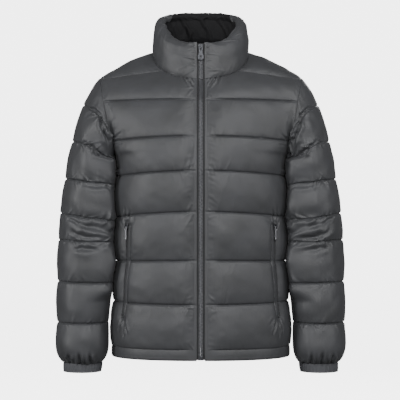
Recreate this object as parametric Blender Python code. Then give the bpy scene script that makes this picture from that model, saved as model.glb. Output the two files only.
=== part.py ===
"""A men's quilted puffer jacket, size M, zipped up and filled out as if worn.

Every cloth piece is a padded wall laid on one hollow form. The form is worked out from a short
table of quilt seams for the body, one armhole ellipse, one neckline and a table of rings for a
sleeve. Units are metres, +Z is up, the front faces -Y and the wearer's left is +X. The origin
lies between the two points where the shoulders meet the collar.
"""
import math
from collections import namedtuple

import bmesh
import bpy
from mathutils import Matrix, Vector

OBJECT = "puffer_jacket"

# Cloth and filling
SEAM_GAP = 0.0003           # each piece stops this far short of its seam
SEAM_WALL = 0.0025          # two shell cloths and flat filling, where stitched through
PUFF = 0.0075               # how far a full channel swells outwards
FILL = 0.0105               # how far it swells inwards
PUFF_LENGTH = 0.080         # a channel shorter than this swells less
PUFF_POWER = 0.55           # low: flat tops and narrow grooves
SIDE_PUFF = 0.6             # share of the swelling left at a side seam
HUG_PUFF = 0.0              # and where a sleeve hangs against the body
ARMHOLE_ROOM = 0.35         # swelling allowed for each unit of distance from the armhole

# Body: one row for each quilt seam from the hem up, and the neckline as the last row.
# Heights at the front edge, at the side and at the middle of the back, then the half width at
# the side seam and the depths to the front and back.
Seam = namedtuple("Seam", "front_z side_z back_z half_width front_depth back_depth")
SEAMS = (
    Seam(-0.662, -0.662, -0.662, 0.2015, 0.128, 0.118),
    Seam(-0.564, -0.561, -0.560, 0.1970, 0.126, 0.114),
    Seam(-0.467, -0.471, -0.469, 0.1920, 0.124, 0.112),
    Seam(-0.360, -0.372, -0.369, 0.1910, 0.127, 0.116),
    Seam(-0.270, -0.281, -0.277, 0.1900, 0.131, 0.123),
    Seam(-0.194, -0.203, -0.196, 0.1935, 0.128, 0.122),
    Seam(-0.112, -0.114, -0.108, 0.2165, 0.103, 0.108),
    Seam(-0.065, -0.060, -0.060, 0.2273, 0.080, 0.090),
)
TOP_SEAM = len(SEAMS) - 1
YOKE_SEAM = TOP_SEAM - 1
UNDERARM_SEAM = 4
SQUARENESS = 2.35           # of the body's section: 2 is an ellipse
ARM_WRAP = 0.80             # rows that end on an armhole turn less far round to the side
WRAP_HEIGHT = 0.030
HEM_DROP = 0.024

# Armhole: a flat ellipse through the shoulder tip and the underarm point
SHOULDER_TIP = Vector((0.228, 0.0, -0.057))
UNDERARM = Vector((0.192, 0.0, -0.236))
ARMHOLE_DEPTH = 0.075

# Neckline, and the collar that stands on it
NECK_HALF_WIDTH = 0.107
NECK_FRONT = 0.080
NECK_BACK = 0.075
NECK_DROP = 0.065
NECK_RISE = 0.015
COLLAR_RIM_HALF_WIDTH = 0.102
COLLAR_RIM_FRONT = 0.079
COLLAR_RIM_BACK = 0.070
COLLAR_START = 0.014        # of its height, clear of the neckline's straight facets
COLLAR_PUFF = 0.0035
COLLAR_WALL = 0.022
COLLAR_RIM_WALL = 0.012
COLLAR_ROUNDING = 0.004     # the rim's outer edge turns in this far
RimPoint = namedtuple("RimPoint", "turn height")
COLLAR_RIM = (
    RimPoint(0, 0.016),
    RimPoint(25, 0.018),
    RimPoint(42, 0.038),
    RimPoint(62, 0.060),
    RimPoint(90, 0.077),
    RimPoint(130, 0.092),
    RimPoint(180, 0.101),
)

# Yoke: the forward shoulder seam runs from the neckline to the armhole
YOKE_NECK_TURN = 51.7       # degrees round the neckline from the front
YOKE_ARM_TURN = 17.0        # degrees round the armhole from the shoulder tip, forwards
BLADE_NECK_TURN = 125.0
YOKE_RIDGE_SHARE = 0.22     # of the way round the yoke to the shoulder's ridge
YOKE_BLADE_SHARE = 0.48     # and to the foot of the armhole's back
YokeLift = namedtuple("YokeLift", "share lift")
YOKE_LIFTS = (
    YokeLift(0.0, 0.0),
    YokeLift(YOKE_RIDGE_SHARE, 0.000),
    YokeLift(YOKE_BLADE_SHARE, 0.009),
    YokeLift(1.0, 0.009),
)

# Sleeve: one row for each ring of stitching from the armhole to the cuff's end.
# The ring's outer and inner points, half its depth, how far it lies forward of the shoulder and
# how far its front and back bow up towards the shoulder.
Ring = namedtuple("Ring", "outer_x outer_z inner_x inner_z half_depth forward bow")
RINGS = (
    Ring(SHOULDER_TIP.x, SHOULDER_TIP.z, UNDERARM.x, UNDERARM.z, ARMHOLE_DEPTH, 0.0, 0.0),
    Ring(0.2650, -0.121, 0.1965, -0.245, 0.080, 0.000, 0.024),
    Ring(0.2886, -0.203, 0.1975, -0.254, 0.079, 0.001, 0.010),
    Ring(0.3030, -0.287, 0.1975, -0.305, 0.076, 0.003, 0.002),
    Ring(0.3140, -0.364, 0.1975, -0.384, 0.073, 0.006, 0.0),
    Ring(0.3180, -0.424, 0.1980, -0.428, 0.070, 0.009, 0.0),
    Ring(0.3200, -0.517, 0.2010, -0.520, 0.065, 0.014, 0.0),
    Ring(0.3206, -0.609, 0.2080, -0.609, 0.058, 0.021, 0.0),
    Ring(0.3096, -0.699, 0.2220, -0.699, 0.040, 0.027, 0.0),
    Ring(0.3096, -0.720, 0.2246, -0.720, 0.038, 0.029, 0.0),
)
CUFF_RING = len(RINGS) - 2
GATHER_POWER = 4            # the last channel keeps its width, then gathers in at the cuff
GATHER_SHARE = 0.93         # its last row before the cuff
HUG_TURN = 125.0            # a sleeve is flat against the body past this turn
CUFF_WALL = 0.0035
HEM_WALL = 0.0055
HEM_PUFF = 0.0015

# Zips
ZIP_OPENING = 0.009         # half the gap between the front edges
PLACKET = 0.006             # flat stitched edge beside the zip
TAPE_HALF_WIDTH = 0.0145
TAPE_WALL = 0.0010
COIL_HALF_WIDTH = 0.0045
COIL_RISE = 0.0026
ZIP_END_Z = -0.684
SLIDER_Z = 0.0055
SLIDER_SIZE = Vector((0.0105, 0.0042, 0.0130))
BAIL_WIRE = 0.0008          # radius
BAIL_SPAN = 0.0080
HINGE_TO_FACE = 0.0016      # the hinge lies midway between the slider's face and its bail
HINGE_TO_BAIL = 0.0016
BAIL_HEIGHT = HINGE_TO_FACE + HINGE_TO_BAIL + BAIL_WIRE
BOX_SIZE = Vector((0.0120, 0.0042, 0.0080))

# Front pull tab, hanging from its eye: the half widths from the eye down
PullPoint = namedtuple("PullPoint", "drop half_width")
PULL_WALL = 0.0016
FRONT_PULL = (
    PullPoint(-0.0010, 0.0022),
    PullPoint(0.0010, 0.0044),
    PullPoint(0.0045, 0.0049),
    PullPoint(0.0090, 0.0045),
    PullPoint(0.0125, 0.0040),
    PullPoint(0.0165, 0.0056),
    PullPoint(0.0215, 0.0071),
    PullPoint(0.0265, 0.0066),
    PullPoint(0.0295, 0.0038),
)
POCKET_PULL = (
    PullPoint(-0.0010, 0.0018),
    PullPoint(0.0010, 0.0032),
    PullPoint(0.0050, 0.0035),
    PullPoint(0.0090, 0.0027),
    PullPoint(0.0180, 0.0025),
    PullPoint(0.0270, 0.0029),
    PullPoint(0.0300, 0.0016),
)
EYE_DROP = (0.0009, 0.0072)     # top and bottom of the hole that the bail passes through
EYE_HALF_WIDTH = 0.0019

# Pockets: a slanted slit, with its zip just outside the slit and a welt on the side of the front
POCKET_TOP_Z = -0.392
POCKET_END_Z = -0.592
POCKET_TOP_ACROSS = 0.835   # of the half width
POCKET_END_ACROSS = 0.865
POCKET_CLEAR = 0.0007       # the welt's underside over the panel
POCKET_ZIP_WIDTH = 0.0034
POCKET_ZIP_WALL = 0.0012
WELT_WIDTH = 0.012
WELT_WALL = 0.0022
POCKET_FLAT_WIDTH = 0.030   # the pocket's stitching holds the filling down this far away
POCKET_FLAT = 0.75
POCKET_SLIDER_DROP = 0.004  # from the pocket's top to the bail
POCKET_SLIDER_SIZE = Vector((0.0080, 0.0030, 0.0110))

CLOTH = (0.092, 0.092, 0.096)
CLOTH_DARK = (0.040, 0.040, 0.043)
TAPE = (0.055, 0.055, 0.058)
METAL = (0.30, 0.30, 0.31)


def lerp(start, end, share):
    return start + (end - start) * share


def clamp(value, low=0.0, high=1.0):
    return max(low, min(high, value))


def smooth(value):
    """An S curve from 0 to 1."""
    value = clamp(value)
    return value * value * (3 - 2 * value)


def table_value(rows, key, value, position):
    """Read one column of a table at a position, in straight lines between its rows."""
    for low, high in zip(rows, rows[1:]):
        if position <= getattr(high, key):
            break
    span = getattr(high, key) - getattr(low, key)
    share = clamp((position - getattr(low, key)) / span)
    return lerp(getattr(low, value), getattr(high, value), share)


# ---------------------------------------------------------------- the hollow form

def inward(point):
    """The direction from a place on the body towards the middle of the hollow."""
    middle = Vector((0.45 * point.x, 0.0, min(point.z, -0.150)))
    return (middle - point).normalized()


def armhole_point(turn):
    """The armhole on the wearer's left, in degrees from the shoulder tip, forwards."""
    middle = (SHOULDER_TIP + UNDERARM) / 2
    angle = math.radians(turn)
    forward = Vector((0.0, -ARMHOLE_DEPTH, 0.0))
    return middle + (SHOULDER_TIP - middle) * math.cos(angle) + forward * math.sin(angle)


def armhole_turn(height):
    """How far round the armhole its edge passes a height."""
    middle = (SHOULDER_TIP.z + UNDERARM.z) / 2
    return math.degrees(math.acos(clamp((height - middle) / (SHOULDER_TIP.z - middle), -1, 1)))


def neck_point(turn):
    """The neckline, in degrees round from the front to the back."""
    angle = math.radians(turn)
    past_side = turn / 90 - 1
    if past_side < 0:
        depth = NECK_FRONT
        height = NECK_DROP * ((turn / 90) ** 2 - 1)
    else:
        depth = NECK_BACK
        height = NECK_RISE * past_side * (2 - past_side)
    return Vector((NECK_HALF_WIDTH * math.sin(angle), -depth * math.cos(angle), height))


def seam_at(level):
    """The body's sizes at a level: whole numbers are quilt seams, counted from the hem."""
    low = min(int(level), TOP_SEAM - 1)
    return Seam(*(lerp(a, b, level - low) for a, b in zip(SEAMS[low], SEAMS[low + 1])))


def row_end(level, face):
    """Where a body row ends: on the side seam, or on the armhole's edge above the underarm."""
    seam = seam_at(level)
    if seam.side_z <= UNDERARM.z:
        return Vector((seam.half_width, 0.0, seam.side_z))
    return armhole_point(-face * armhole_turn(seam.side_z))


def row_wrap(level):
    above = (seam_at(level).side_z - UNDERARM.z) / WRAP_HEIGHT
    return lerp(1.0, ARM_WRAP, smooth(above)) * math.pi / 2


def body_point(share, level, face):
    """A place on the body form: share 0 at the middle to 1 at the side, face -1 is the front."""
    seam = seam_at(level)
    end = row_end(level, face)
    wrap = row_wrap(level)
    power = 2 / SQUARENESS
    across = (math.sin(share * wrap) / math.sin(wrap)) ** power
    last = max(math.cos(wrap), 0.0) ** power
    out = (max(math.cos(share * wrap), 0.0) ** power - last) / (1 - last)
    depth = seam.front_depth if face < 0 else seam.back_depth
    middle_z = seam.front_z if face < 0 else seam.back_z
    y = face * lerp(abs(end.y), depth, out)
    return Vector((end.x * across, y, lerp(middle_z, end.z, across ** 2)))


def share_at(x, level):
    """The share of a body row that lies x from the middle."""
    wrap = row_wrap(level)
    across = x / row_end(level, -1).x
    return math.asin(across ** (SQUARENESS / 2) * math.sin(wrap)) / wrap


def shoulder_seam_point(x):
    """The front's top edge: the neckline, then the forward shoulder seam."""
    corner = neck_point(YOKE_NECK_TURN)
    if x < corner.x:
        return neck_point(math.degrees(math.asin(x / NECK_HALF_WIDTH)))
    tip = armhole_point(YOKE_ARM_TURN)
    return corner.lerp(tip, (x - corner.x) / (tip.x - corner.x))


def front_point(share, level):
    """The front's form: above the last quilt seam it is drawn up to its top edge."""
    point = body_point(share, level, -1)
    above = level - YOKE_SEAM
    if above > 0:
        top = body_point(share, TOP_SEAM, -1)
        point += (shoulder_seam_point(top.x) - top) * above ** 2
    return point


def yoke_point(share, reach):
    """The yoke's form: share from the shoulder seam to the middle back, reach from the neck."""
    if share < YOKE_RIDGE_SHARE:
        part = share / YOKE_RIDGE_SHARE
        near = neck_point(lerp(YOKE_NECK_TURN, 90.0, part))
        far = armhole_point(lerp(YOKE_ARM_TURN, 0.0, part))
    elif share < YOKE_BLADE_SHARE:
        part = (share - YOKE_RIDGE_SHARE) / (YOKE_BLADE_SHARE - YOKE_RIDGE_SHARE)
        near = neck_point(lerp(90.0, BLADE_NECK_TURN, part))
        far = armhole_point(lerp(0.0, -armhole_turn(SEAMS[YOKE_SEAM].side_z), part))
    else:
        part = (share - YOKE_BLADE_SHARE) / (1 - YOKE_BLADE_SHARE)
        near = neck_point(lerp(BLADE_NECK_TURN, 180.0, part))
        far = body_point(1 - part, YOKE_SEAM, 1)
    point = near.lerp(far, reach)
    lift = table_value(YOKE_LIFTS, "share", "lift", share) * 4 * reach * (1 - reach)
    return point - inward(point) * lift


def collar_point(turn, height):
    """The collar's outer face, in degrees round from the front; height 0 to 1 at the rim."""
    angle = math.radians(turn)
    depth = COLLAR_RIM_FRONT if turn < 90 else COLLAR_RIM_BACK
    rim = Vector((
        COLLAR_RIM_HALF_WIDTH * math.sin(angle),
        -depth * math.cos(angle),
        table_value(COLLAR_RIM, "turn", "height", turn),
    ))
    return neck_point(turn).lerp(rim, height)


def ring_at(level):
    low = min(int(level), len(RINGS) - 2)
    share = level - low
    ring = Ring(*(lerp(a, b, share) for a, b in zip(RINGS[low], RINGS[low + 1])))
    if low != CUFF_RING - 1:
        return ring
    above, cuff = RINGS[low], RINGS[low + 1]
    late = share ** GATHER_POWER
    return ring._replace(
        outer_x=lerp(above.outer_x, cuff.outer_x, late),
        inner_x=lerp(above.inner_x, cuff.inner_x, late),
        half_depth=lerp(above.half_depth, cuff.half_depth, late),
    )


def sleeve_point(turn, level):
    """The left sleeve's form, in degrees round from its outer side, forwards."""
    ring = ring_at(level)
    middle, across, up = ring_frame(ring)
    angle = math.radians(turn)
    point = middle + across * math.cos(angle)
    point.y -= ring.half_depth * math.sin(angle)
    clear = up * SEAM_GAP * clamp(1 - level / 0.2)
    return point + up * ring.bow * math.sin(angle) ** 2 - clear


def ring_frame(ring):
    """A ring's middle, the way to its outer point, and the way up the arm."""
    outer = Vector((ring.outer_x, -ring.forward, ring.outer_z))
    inner = Vector((ring.inner_x, -ring.forward, ring.inner_z))
    across = (outer - inner) / 2
    up = Vector((-across.z, 0.0, across.x)).normalized()
    return (outer + inner) / 2, across, up


def into_sleeve(point, level):
    """The direction from the sleeve's wall to the middle of its ring."""
    low = min(int(level), len(RINGS) - 2)
    here = ring_frame(RINGS[low])[0].lerp(ring_frame(RINGS[low + 1])[0], level - low)
    return (here - point).normalized()


# ---------------------------------------------------------------- padding and walls

def puff_shape(part):
    """The swelling across a channel: 0 at its two seams, 1 in the middle."""
    return math.sin(math.pi * clamp(part)) ** PUFF_POWER


def swell(form, level, seam_count):
    """How full the channel is at a level, 0 to 1, with short channels swelling less."""
    low = min(int(level), seam_count - 1)
    length = (form(low + 1) - form(low)).length
    return puff_shape(level - low) * clamp(length / PUFF_LENGTH)


def closed_wall(name, outer, inner, across, along, tube=False):
    """A wall of cloth: a flat slab whose points move to the outer and the inner face.

    outer and inner give the place for a value of across and one of along. Each edge stops
    short of its seam by SEAM_GAP, and a tube is joined where its two side edges meet.
    """
    columns = len(across) - 1
    rows = len(along) - 1
    mesh = bmesh.new()
    bmesh.ops.create_grid(mesh, x_segments=columns, y_segments=rows, size=0.5)
    skin = set(mesh.verts)
    bmesh.ops.extrude_face_region(mesh, geom=mesh.faces[:], use_keep_orig=True)
    for vertex in skin:
        vertex.co.z = 1.0
    bmesh.ops.recalc_face_normals(mesh, faces=mesh.faces[:])
    place = {}
    for vertex in mesh.verts:
        column = round((vertex.co.x + 0.5) * columns)
        row = round((vertex.co.y + 0.5) * rows)
        face = outer if vertex in skin else inner
        point = face(across[column], along[row])
        if row in (0, rows):
            inside = face(across[column], along[row + (1 if row == 0 else -1)])
            point = point + (inside - point).normalized() * SEAM_GAP
        if column in (0, columns) and not tube:
            inside = face(across[column + (1 if column == 0 else -1)], along[row])
            point = point + (inside - point).normalized() * SEAM_GAP
        place[vertex] = point
    if tube:
        ends = [f for f in mesh.faces if abs(f.calc_center_median().x) > 0.5 - 1e-6]
        bmesh.ops.delete(mesh, geom=ends, context="FACES")
    for vertex, point in place.items():
        vertex.co = point
    if tube:
        bmesh.ops.remove_doubles(mesh, verts=mesh.verts[:], dist=1e-6)
    if mesh.calc_volume(signed=True) < 0:
        bmesh.ops.reverse_faces(mesh, faces=mesh.faces[:])
    return finish_mesh(name, mesh)


def finish_mesh(name, mesh):
    """Turn a bmesh into a named object in the jacket's collection."""
    data = bpy.data.meshes.new(name)
    mesh.to_mesh(data)
    mesh.free()
    data.shade_smooth()
    data.set_sharp_from_angle(angle=math.radians(50))
    part = bpy.data.objects.new(name, data)
    jacket.objects.link(part)
    return part


def give_material(part, colour, roughness, metallic=0.0):
    """Each piece has its own material."""
    material = bpy.data.materials.new(part.name)
    material.use_nodes = True
    shader = material.node_tree.nodes["Principled BSDF"]
    shader.inputs["Base Color"].default_value = (*colour, 1.0)
    shader.inputs["Roughness"].default_value = roughness
    shader.inputs["Metallic"].default_value = metallic
    part.data.materials.clear()
    part.data.materials.append(material)


def mirrored(point, side):
    return Vector((side * point.x, point.y, point.z))


def channel_levels(seam_count, shares=(0.0, 0.2, 0.5, 0.8)):
    """The rows of a quilted piece: a few in each channel, at its seams and over its swelling."""
    levels = [seam + share for seam in range(seam_count) for share in shares]
    return levels + [float(seam_count)]


# ---------------------------------------------------------------- fronts, back and yoke

# A front's columns: -1 to 0 is the flat placket beside the zip, 0 to 1 the rest to the side
FRONT_COLUMNS = (-1, 0, 0.07, 0.20, 0.34, 0.46, 0.54, 0.59, 0.66, 0.81, 1.0)


def placket_share(column, level):
    """The share of a body row at one of the front's columns."""
    placket_end = share_at(ZIP_OPENING + PLACKET, level)
    if column < 0:
        return lerp(placket_end, share_at(ZIP_OPENING, level), -column)
    return lerp(placket_end, 1.0, column)


def pocket_line(along):
    """The pocket's slit, from its top to its end: its level and its share of that row."""
    level = level_at(lerp(POCKET_TOP_Z, POCKET_END_Z, along))
    across = lerp(POCKET_TOP_ACROSS, POCKET_END_ACROSS, along)
    return level, share_at(row_end(level, -1).x * across, level)


def pocket_hold(point):
    """How much of the swelling is left beside a pocket's stitching."""
    along = clamp((POCKET_TOP_Z - point.z) / (POCKET_TOP_Z - POCKET_END_Z))
    level, share = pocket_line(along)
    near = 1 - clamp((front_point(share, level) - point).length / POCKET_FLAT_WIDTH)
    return 1 - POCKET_FLAT * smooth(near)


def level_at(height):
    """The body level whose side lies at a height."""
    for low in range(TOP_SEAM):
        if SEAMS[low].side_z <= height <= SEAMS[low + 1].side_z:
            return low + (height - SEAMS[low].side_z) / (SEAMS[low + 1].side_z - SEAMS[low].side_z)
    raise ValueError("no seam at this height")


def side_puff(level):
    """The swelling left at a side seam, and none where the row ends on an armhole."""
    below_underarm = (UNDERARM.z - seam_at(level).side_z) / WRAP_HEIGHT
    return SIDE_PUFF * smooth(below_underarm)


def edge_hold(column, side_share):
    """The swelling dies out at a piece's stitched side edges."""
    near_placket = clamp(column / 0.16)
    near_side = clamp((1 - column) / 0.10)
    return smooth(near_placket) ** 0.5 * lerp(side_share, 1.0, smooth(near_side))


def front_fullness(column, level):
    def form(seam):
        return front_point(placket_share(max(column, 0.0), seam), seam)

    if column <= 0:
        return 0.0
    hold = pocket_hold(front_point(placket_share(column, level), level))
    return swell(form, level, TOP_SEAM) * edge_hold(column, side_puff(level)) * hold


def armhole_room(point):
    """How far the swelling may go near the armhole, so that it stays on the body's side."""
    if point.z < UNDERARM.z - WRAP_HEIGHT:
        return PUFF
    along = (SHOULDER_TIP - UNDERARM).normalized()
    across = Vector((along.z, 0.0, -along.x))
    return clamp((UNDERARM - point).dot(across) * ARMHOLE_ROOM, 0.0, PUFF)


def front_outer(column, level):
    point = front_point(placket_share(column, level), level)
    puff = min(PUFF * front_fullness(column, level), armhole_room(point))
    return point - inward(point) * puff


def front_inner(column, level):
    point = front_point(placket_share(column, level), level)
    return point + inward(point) * (SEAM_WALL + FILL * front_fullness(column, level))


def body_levels(last):
    """Body rows, with one through the underarm point so that the armhole starts at a corner."""
    low = SEAMS[UNDERARM_SEAM].side_z
    high = SEAMS[UNDERARM_SEAM + 1].side_z
    underarm = UNDERARM_SEAM + (UNDERARM.z - low) / (high - low)
    levels = []
    for level in channel_levels(last):
        levels.append(underarm if level == UNDERARM_SEAM + 0.5 else level)
    return levels


def build_front(name, side):
    levels = body_levels(TOP_SEAM)
    part = closed_wall(
        name,
        lambda column, level: mirrored(front_outer(column, level), side),
        lambda column, level: mirrored(front_inner(column, level), side),
        FRONT_COLUMNS,
        levels,
    )
    give_material(part, CLOTH, 0.55)


def back_fullness(across, level):
    def form(seam):
        return body_point(abs(across), seam, 1)

    near_side = smooth((1 - abs(across)) / 0.10)
    return swell(form, level, TOP_SEAM) * lerp(side_puff(level), 1.0, near_side)


def back_puff(across, level):
    room = armhole_room(body_point(abs(across), level, 1))
    return min(PUFF * back_fullness(across, level), room)


def back_place(across, level, depth):
    point = body_point(abs(across), level, 1)
    point = point + inward(point) * depth
    return mirrored(point, math.copysign(1, across))


def build_back():
    half = (0.0, 0.24, 0.48, 0.70, 0.87, 1.0)
    part = closed_wall(
        "back",
        lambda a, level: back_place(a, level, -back_puff(a, level)),
        lambda a, level: back_place(a, level, SEAM_WALL + FILL * back_fullness(a, level)),
        [-share for share in reversed(half[1:])] + list(half),
        body_levels(YOKE_SEAM),
    )
    give_material(part, CLOTH, 0.55)


def yoke_place(across, reach, swelling, wall):
    """across runs from -1 on the right shoulder seam over the back's middle to +1."""
    share = 1 - abs(across)
    point = yoke_point(share, reach)
    length = (yoke_point(share, 1.0) - yoke_point(share, 0.0)).length
    edge = smooth(share / 0.12) ** 0.5
    full = puff_shape(reach) * clamp(length / PUFF_LENGTH) * edge
    point = point + inward(point) * (wall + swelling * full)
    return mirrored(point, math.copysign(1, across))


def build_yoke():
    half = (0.0, 0.13, 0.26, 0.39, 0.52, 0.61, 0.70, 0.78, 0.90, 1.0)
    part = closed_wall(
        "yoke",
        lambda a, reach: yoke_place(a, reach, -PUFF, 0.0),
        lambda a, reach: yoke_place(a, reach, FILL, SEAM_WALL),
        [-share for share in reversed(half[1:])] + list(half),
        (0.0, 0.15, 0.38, 0.62, 0.85, 1.0),
    )
    give_material(part, CLOTH, 0.55)


# ---------------------------------------------------------------- collar, hem band, sleeves

def neck_turn(x):
    """The turn round the neckline at which it is x from the middle of the front."""
    return math.degrees(math.asin(x / NECK_HALF_WIDTH))


def collar_turn(across):
    """across is 0 at the middle of the back, 1 where the placket begins and 2 at its edge."""
    placket = neck_turn(ZIP_OPENING + PLACKET)
    if across <= 1:
        return lerp(180.0, placket, across)
    return lerp(placket, neck_turn(ZIP_OPENING), across - 1)


def collar_place(across, height, depth):
    """across is negative on the wearer's right."""
    point = collar_point(collar_turn(abs(across)), height)
    level_inward = Vector((-point.x, -point.y, 0.0)).normalized()
    return mirrored(point + level_inward * depth, math.copysign(1, across))


def collar_edge(across):
    return smooth((1 - abs(across)) / 0.12) ** 0.5


def collar_outer_depth(across, height):
    swelling = -COLLAR_PUFF * math.sin(math.pi * clamp(height / 0.9))
    rounding = COLLAR_ROUNDING * smooth((height - 0.8) / 0.2)
    return (swelling + rounding) * collar_edge(across)


def collar_inner_depth(across, height):
    full = smooth(height / 0.3)
    rim = smooth((height - 0.85) / 0.15)
    padded = lerp(SEAM_WALL + (COLLAR_WALL - SEAM_WALL) * full, COLLAR_RIM_WALL, rim)
    return lerp(SEAM_WALL, padded + COLLAR_ROUNDING * rim, collar_edge(across))


def build_collar():
    half = (0.0, 0.13, 0.26, 0.39, 0.523, 0.645, 0.746, 0.83, 0.91, 1.0, 2.0)
    part = closed_wall(
        "collar",
        lambda a, h: collar_place(a, h, collar_outer_depth(a, h)),
        lambda a, h: collar_place(a, h, collar_inner_depth(a, h)),
        [-share for share in reversed(half[1:])] + list(half),
        (COLLAR_START, 0.12, 0.35, 0.60, 0.80, 0.94, 1.0),
    )
    give_material(part, CLOTH, 0.55)


def hem_place(across, drop, depth):
    """across is 0 at the middle back, 1 at a side, 2 where the placket begins, 3 at its edge."""
    part = abs(across)
    if part <= 1:
        point = body_point(part, 0, 1)
    else:
        column = clamp(2 - part, -1.0)
        point = body_point(placket_share(column, 0), 0, -1)
    point.z -= HEM_DROP * drop
    point = point + inward(point) * depth
    return mirrored(point, math.copysign(1, across))


def hem_wall(across):
    return lerp(SEAM_WALL, HEM_WALL, smooth((2 - abs(across)) / 0.08))


def hem_swell(across, drop):
    return HEM_PUFF * math.sin(math.pi * drop) * smooth((2 - abs(across)) / 0.08)


def build_hem_band():
    half = (0.0, 0.24, 0.48, 0.70, 0.87, 1.0, 1.1, 1.24, 1.4, 1.6, 1.8, 1.93, 2.0, 3.0)
    part = closed_wall(
        "hem_band",
        lambda a, drop: hem_place(a, drop, -hem_swell(a, drop)),
        lambda a, drop: hem_place(a, drop, hem_wall(a)),
        [-share for share in reversed(half[1:])] + list(half),
        (0.0, 0.3, 0.7, 1.0),
    )
    give_material(part, CLOTH, 0.60)


def sleeve_fullness(turn, level):
    def form(ring):
        return sleeve_point(turn, ring)

    full = swell(form, level, CUFF_RING)
    towards_body = abs(180 - turn % 360)
    hug = 1 - clamp(towards_body / (180 - HUG_TURN))
    return full, lerp(1.0, HUG_PUFF, smooth(hug))


def sleeve_outer(turn, level):
    point = sleeve_point(turn, level)
    full, outwards = sleeve_fullness(turn, level)
    return point - into_sleeve(point, level) * PUFF * full * outwards


def sleeve_inner(turn, level):
    point = sleeve_point(turn, level)
    full = sleeve_fullness(turn, level)[0]
    return point + into_sleeve(point, level) * (SEAM_WALL + FILL * full)


def build_sleeve(name, side):
    part = closed_wall(
        name,
        lambda turn, level: mirrored(sleeve_outer(turn, level), side),
        lambda turn, level: mirrored(sleeve_inner(turn, level), side),
        [360 * step / 16 for step in range(17)],
        channel_levels(CUFF_RING)[:-1] + [CUFF_RING - 1 + GATHER_SHARE, float(CUFF_RING)],
        tube=True,
    )
    give_material(part, CLOTH, 0.55)


def cuff_place(turn, level, depth):
    point = sleeve_point(turn, level)
    return point + into_sleeve(point, level) * depth


def build_cuff(name, side):
    part = closed_wall(
        name,
        lambda turn, level: mirrored(cuff_place(turn, level, 0.0), side),
        lambda turn, level: mirrored(cuff_place(turn, level, CUFF_WALL), side),
        [360 * step / 16 for step in range(17)],
        (CUFF_RING, CUFF_RING + 0.5, CUFF_RING + 1),
        tube=True,
    )
    give_material(part, CLOTH_DARK, 0.70)


# ---------------------------------------------------------------- front zip

def zip_path():
    """The front edge's line from the hem to the collar's rim, where the zip runs."""
    points = [Vector((0.0, -SEAMS[0].front_depth, ZIP_END_Z))]
    points += [Vector((0.0, -seam.front_depth, seam.front_z)) for seam in SEAMS]
    points.append(Vector((0.0, -COLLAR_RIM_FRONT, COLLAR_RIM[0].height - 0.002)))
    return points


def zip_depth(height):
    """How far forward the front edges lie at a height."""
    path = zip_path()
    for low, high in zip(path, path[1:]):
        if height <= high.z:
            break
    return -lerp(low.y, high.y, (height - low.z) / (high.z - low.z))


def on_zip(x, height, rise):
    """A place on the zip's tape, behind the front edges, moved forward by rise."""
    chest = SEAMS[YOKE_SEAM].front_z
    neck = SEAMS[TOP_SEAM].front_z
    bend = lerp(1.0, math.cos(math.radians(neck_turn(x))), clamp((height - chest) / (neck - chest)))
    edge = Vector((0.0, -zip_depth(height) * bend, height))
    back = inward(edge) if height < neck - SEAM_GAP else Vector((0.0, 1.0, 0.0))
    return edge + back * (SEAM_WALL + 2 * SEAM_GAP - rise) + Vector((x, 0.0, 0.0))


def coil_rise(x):
    return COIL_RISE if abs(x) <= COIL_HALF_WIDTH else 0.0


def build_zip_tape(name, side):
    columns = (0.0, COIL_HALF_WIDTH, COIL_HALF_WIDTH + 0.0006, TAPE_HALF_WIDTH)
    part = closed_wall(
        name,
        lambda x, z: mirrored(on_zip(x, z, coil_rise(x)), side),
        lambda x, z: mirrored(on_zip(x, z, -TAPE_WALL), side),
        columns,
        [point.z for point in zip_path()],
    )
    give_material(part, TAPE, 0.75)


def rounded_block(mesh, size, middle, corner):
    """Add a block with rounded corners to a bmesh."""
    made = bmesh.ops.create_cube(mesh, size=1.0)["verts"]
    bmesh.ops.scale(mesh, vec=size, verts=made)
    bmesh.ops.translate(mesh, vec=middle, verts=made)
    edges = list({edge for vertex in made for edge in vertex.link_edges})
    bmesh.ops.bevel(mesh, geom=edges, offset=corner, segments=2, profile=0.5, affect="EDGES")


def build_bail(name, face_y):
    """The slider's bail: a wire arch over the pull's eye, as a curve made a closed mesh."""
    curve = bpy.data.curves.new(name, "CURVE")
    curve.dimensions = "3D"
    curve.bevel_depth = BAIL_WIRE
    curve.bevel_resolution = 1
    curve.use_fill_caps = True
    half = BAIL_SPAN / 2
    sunk = face_y + 0.0010
    crown = face_y - BAIL_HEIGHT
    bend = 0.0009
    route = (
        (sunk, -half), (crown + bend, -half), (crown, -half + bend),
        (crown, half - bend), (crown + bend, half), (sunk, half),
    )
    line = curve.splines.new("POLY")
    line.points.add(len(route) - 1)
    for point, (y, z) in zip(line.points, route):
        point.co = (0.0, y, z, 1.0)
    return solid_from_curve(name, curve)


def solid_from_curve(name, curve):
    """Make a curve's evaluated shape a mesh object with its caps joined."""
    source = bpy.data.objects.new(name, curve)
    jacket.objects.link(source)
    bpy.context.view_layer.update()
    evaluated = source.evaluated_get(bpy.context.evaluated_depsgraph_get())
    data = bpy.data.meshes.new_from_object(evaluated)
    bpy.data.objects.remove(source)
    bpy.data.curves.remove(curve)
    mesh = bmesh.new()
    mesh.from_mesh(data)
    bmesh.ops.remove_doubles(mesh, verts=mesh.verts[:], dist=1e-6)
    bpy.data.meshes.remove(data)
    return finish_mesh(name, mesh)


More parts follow.
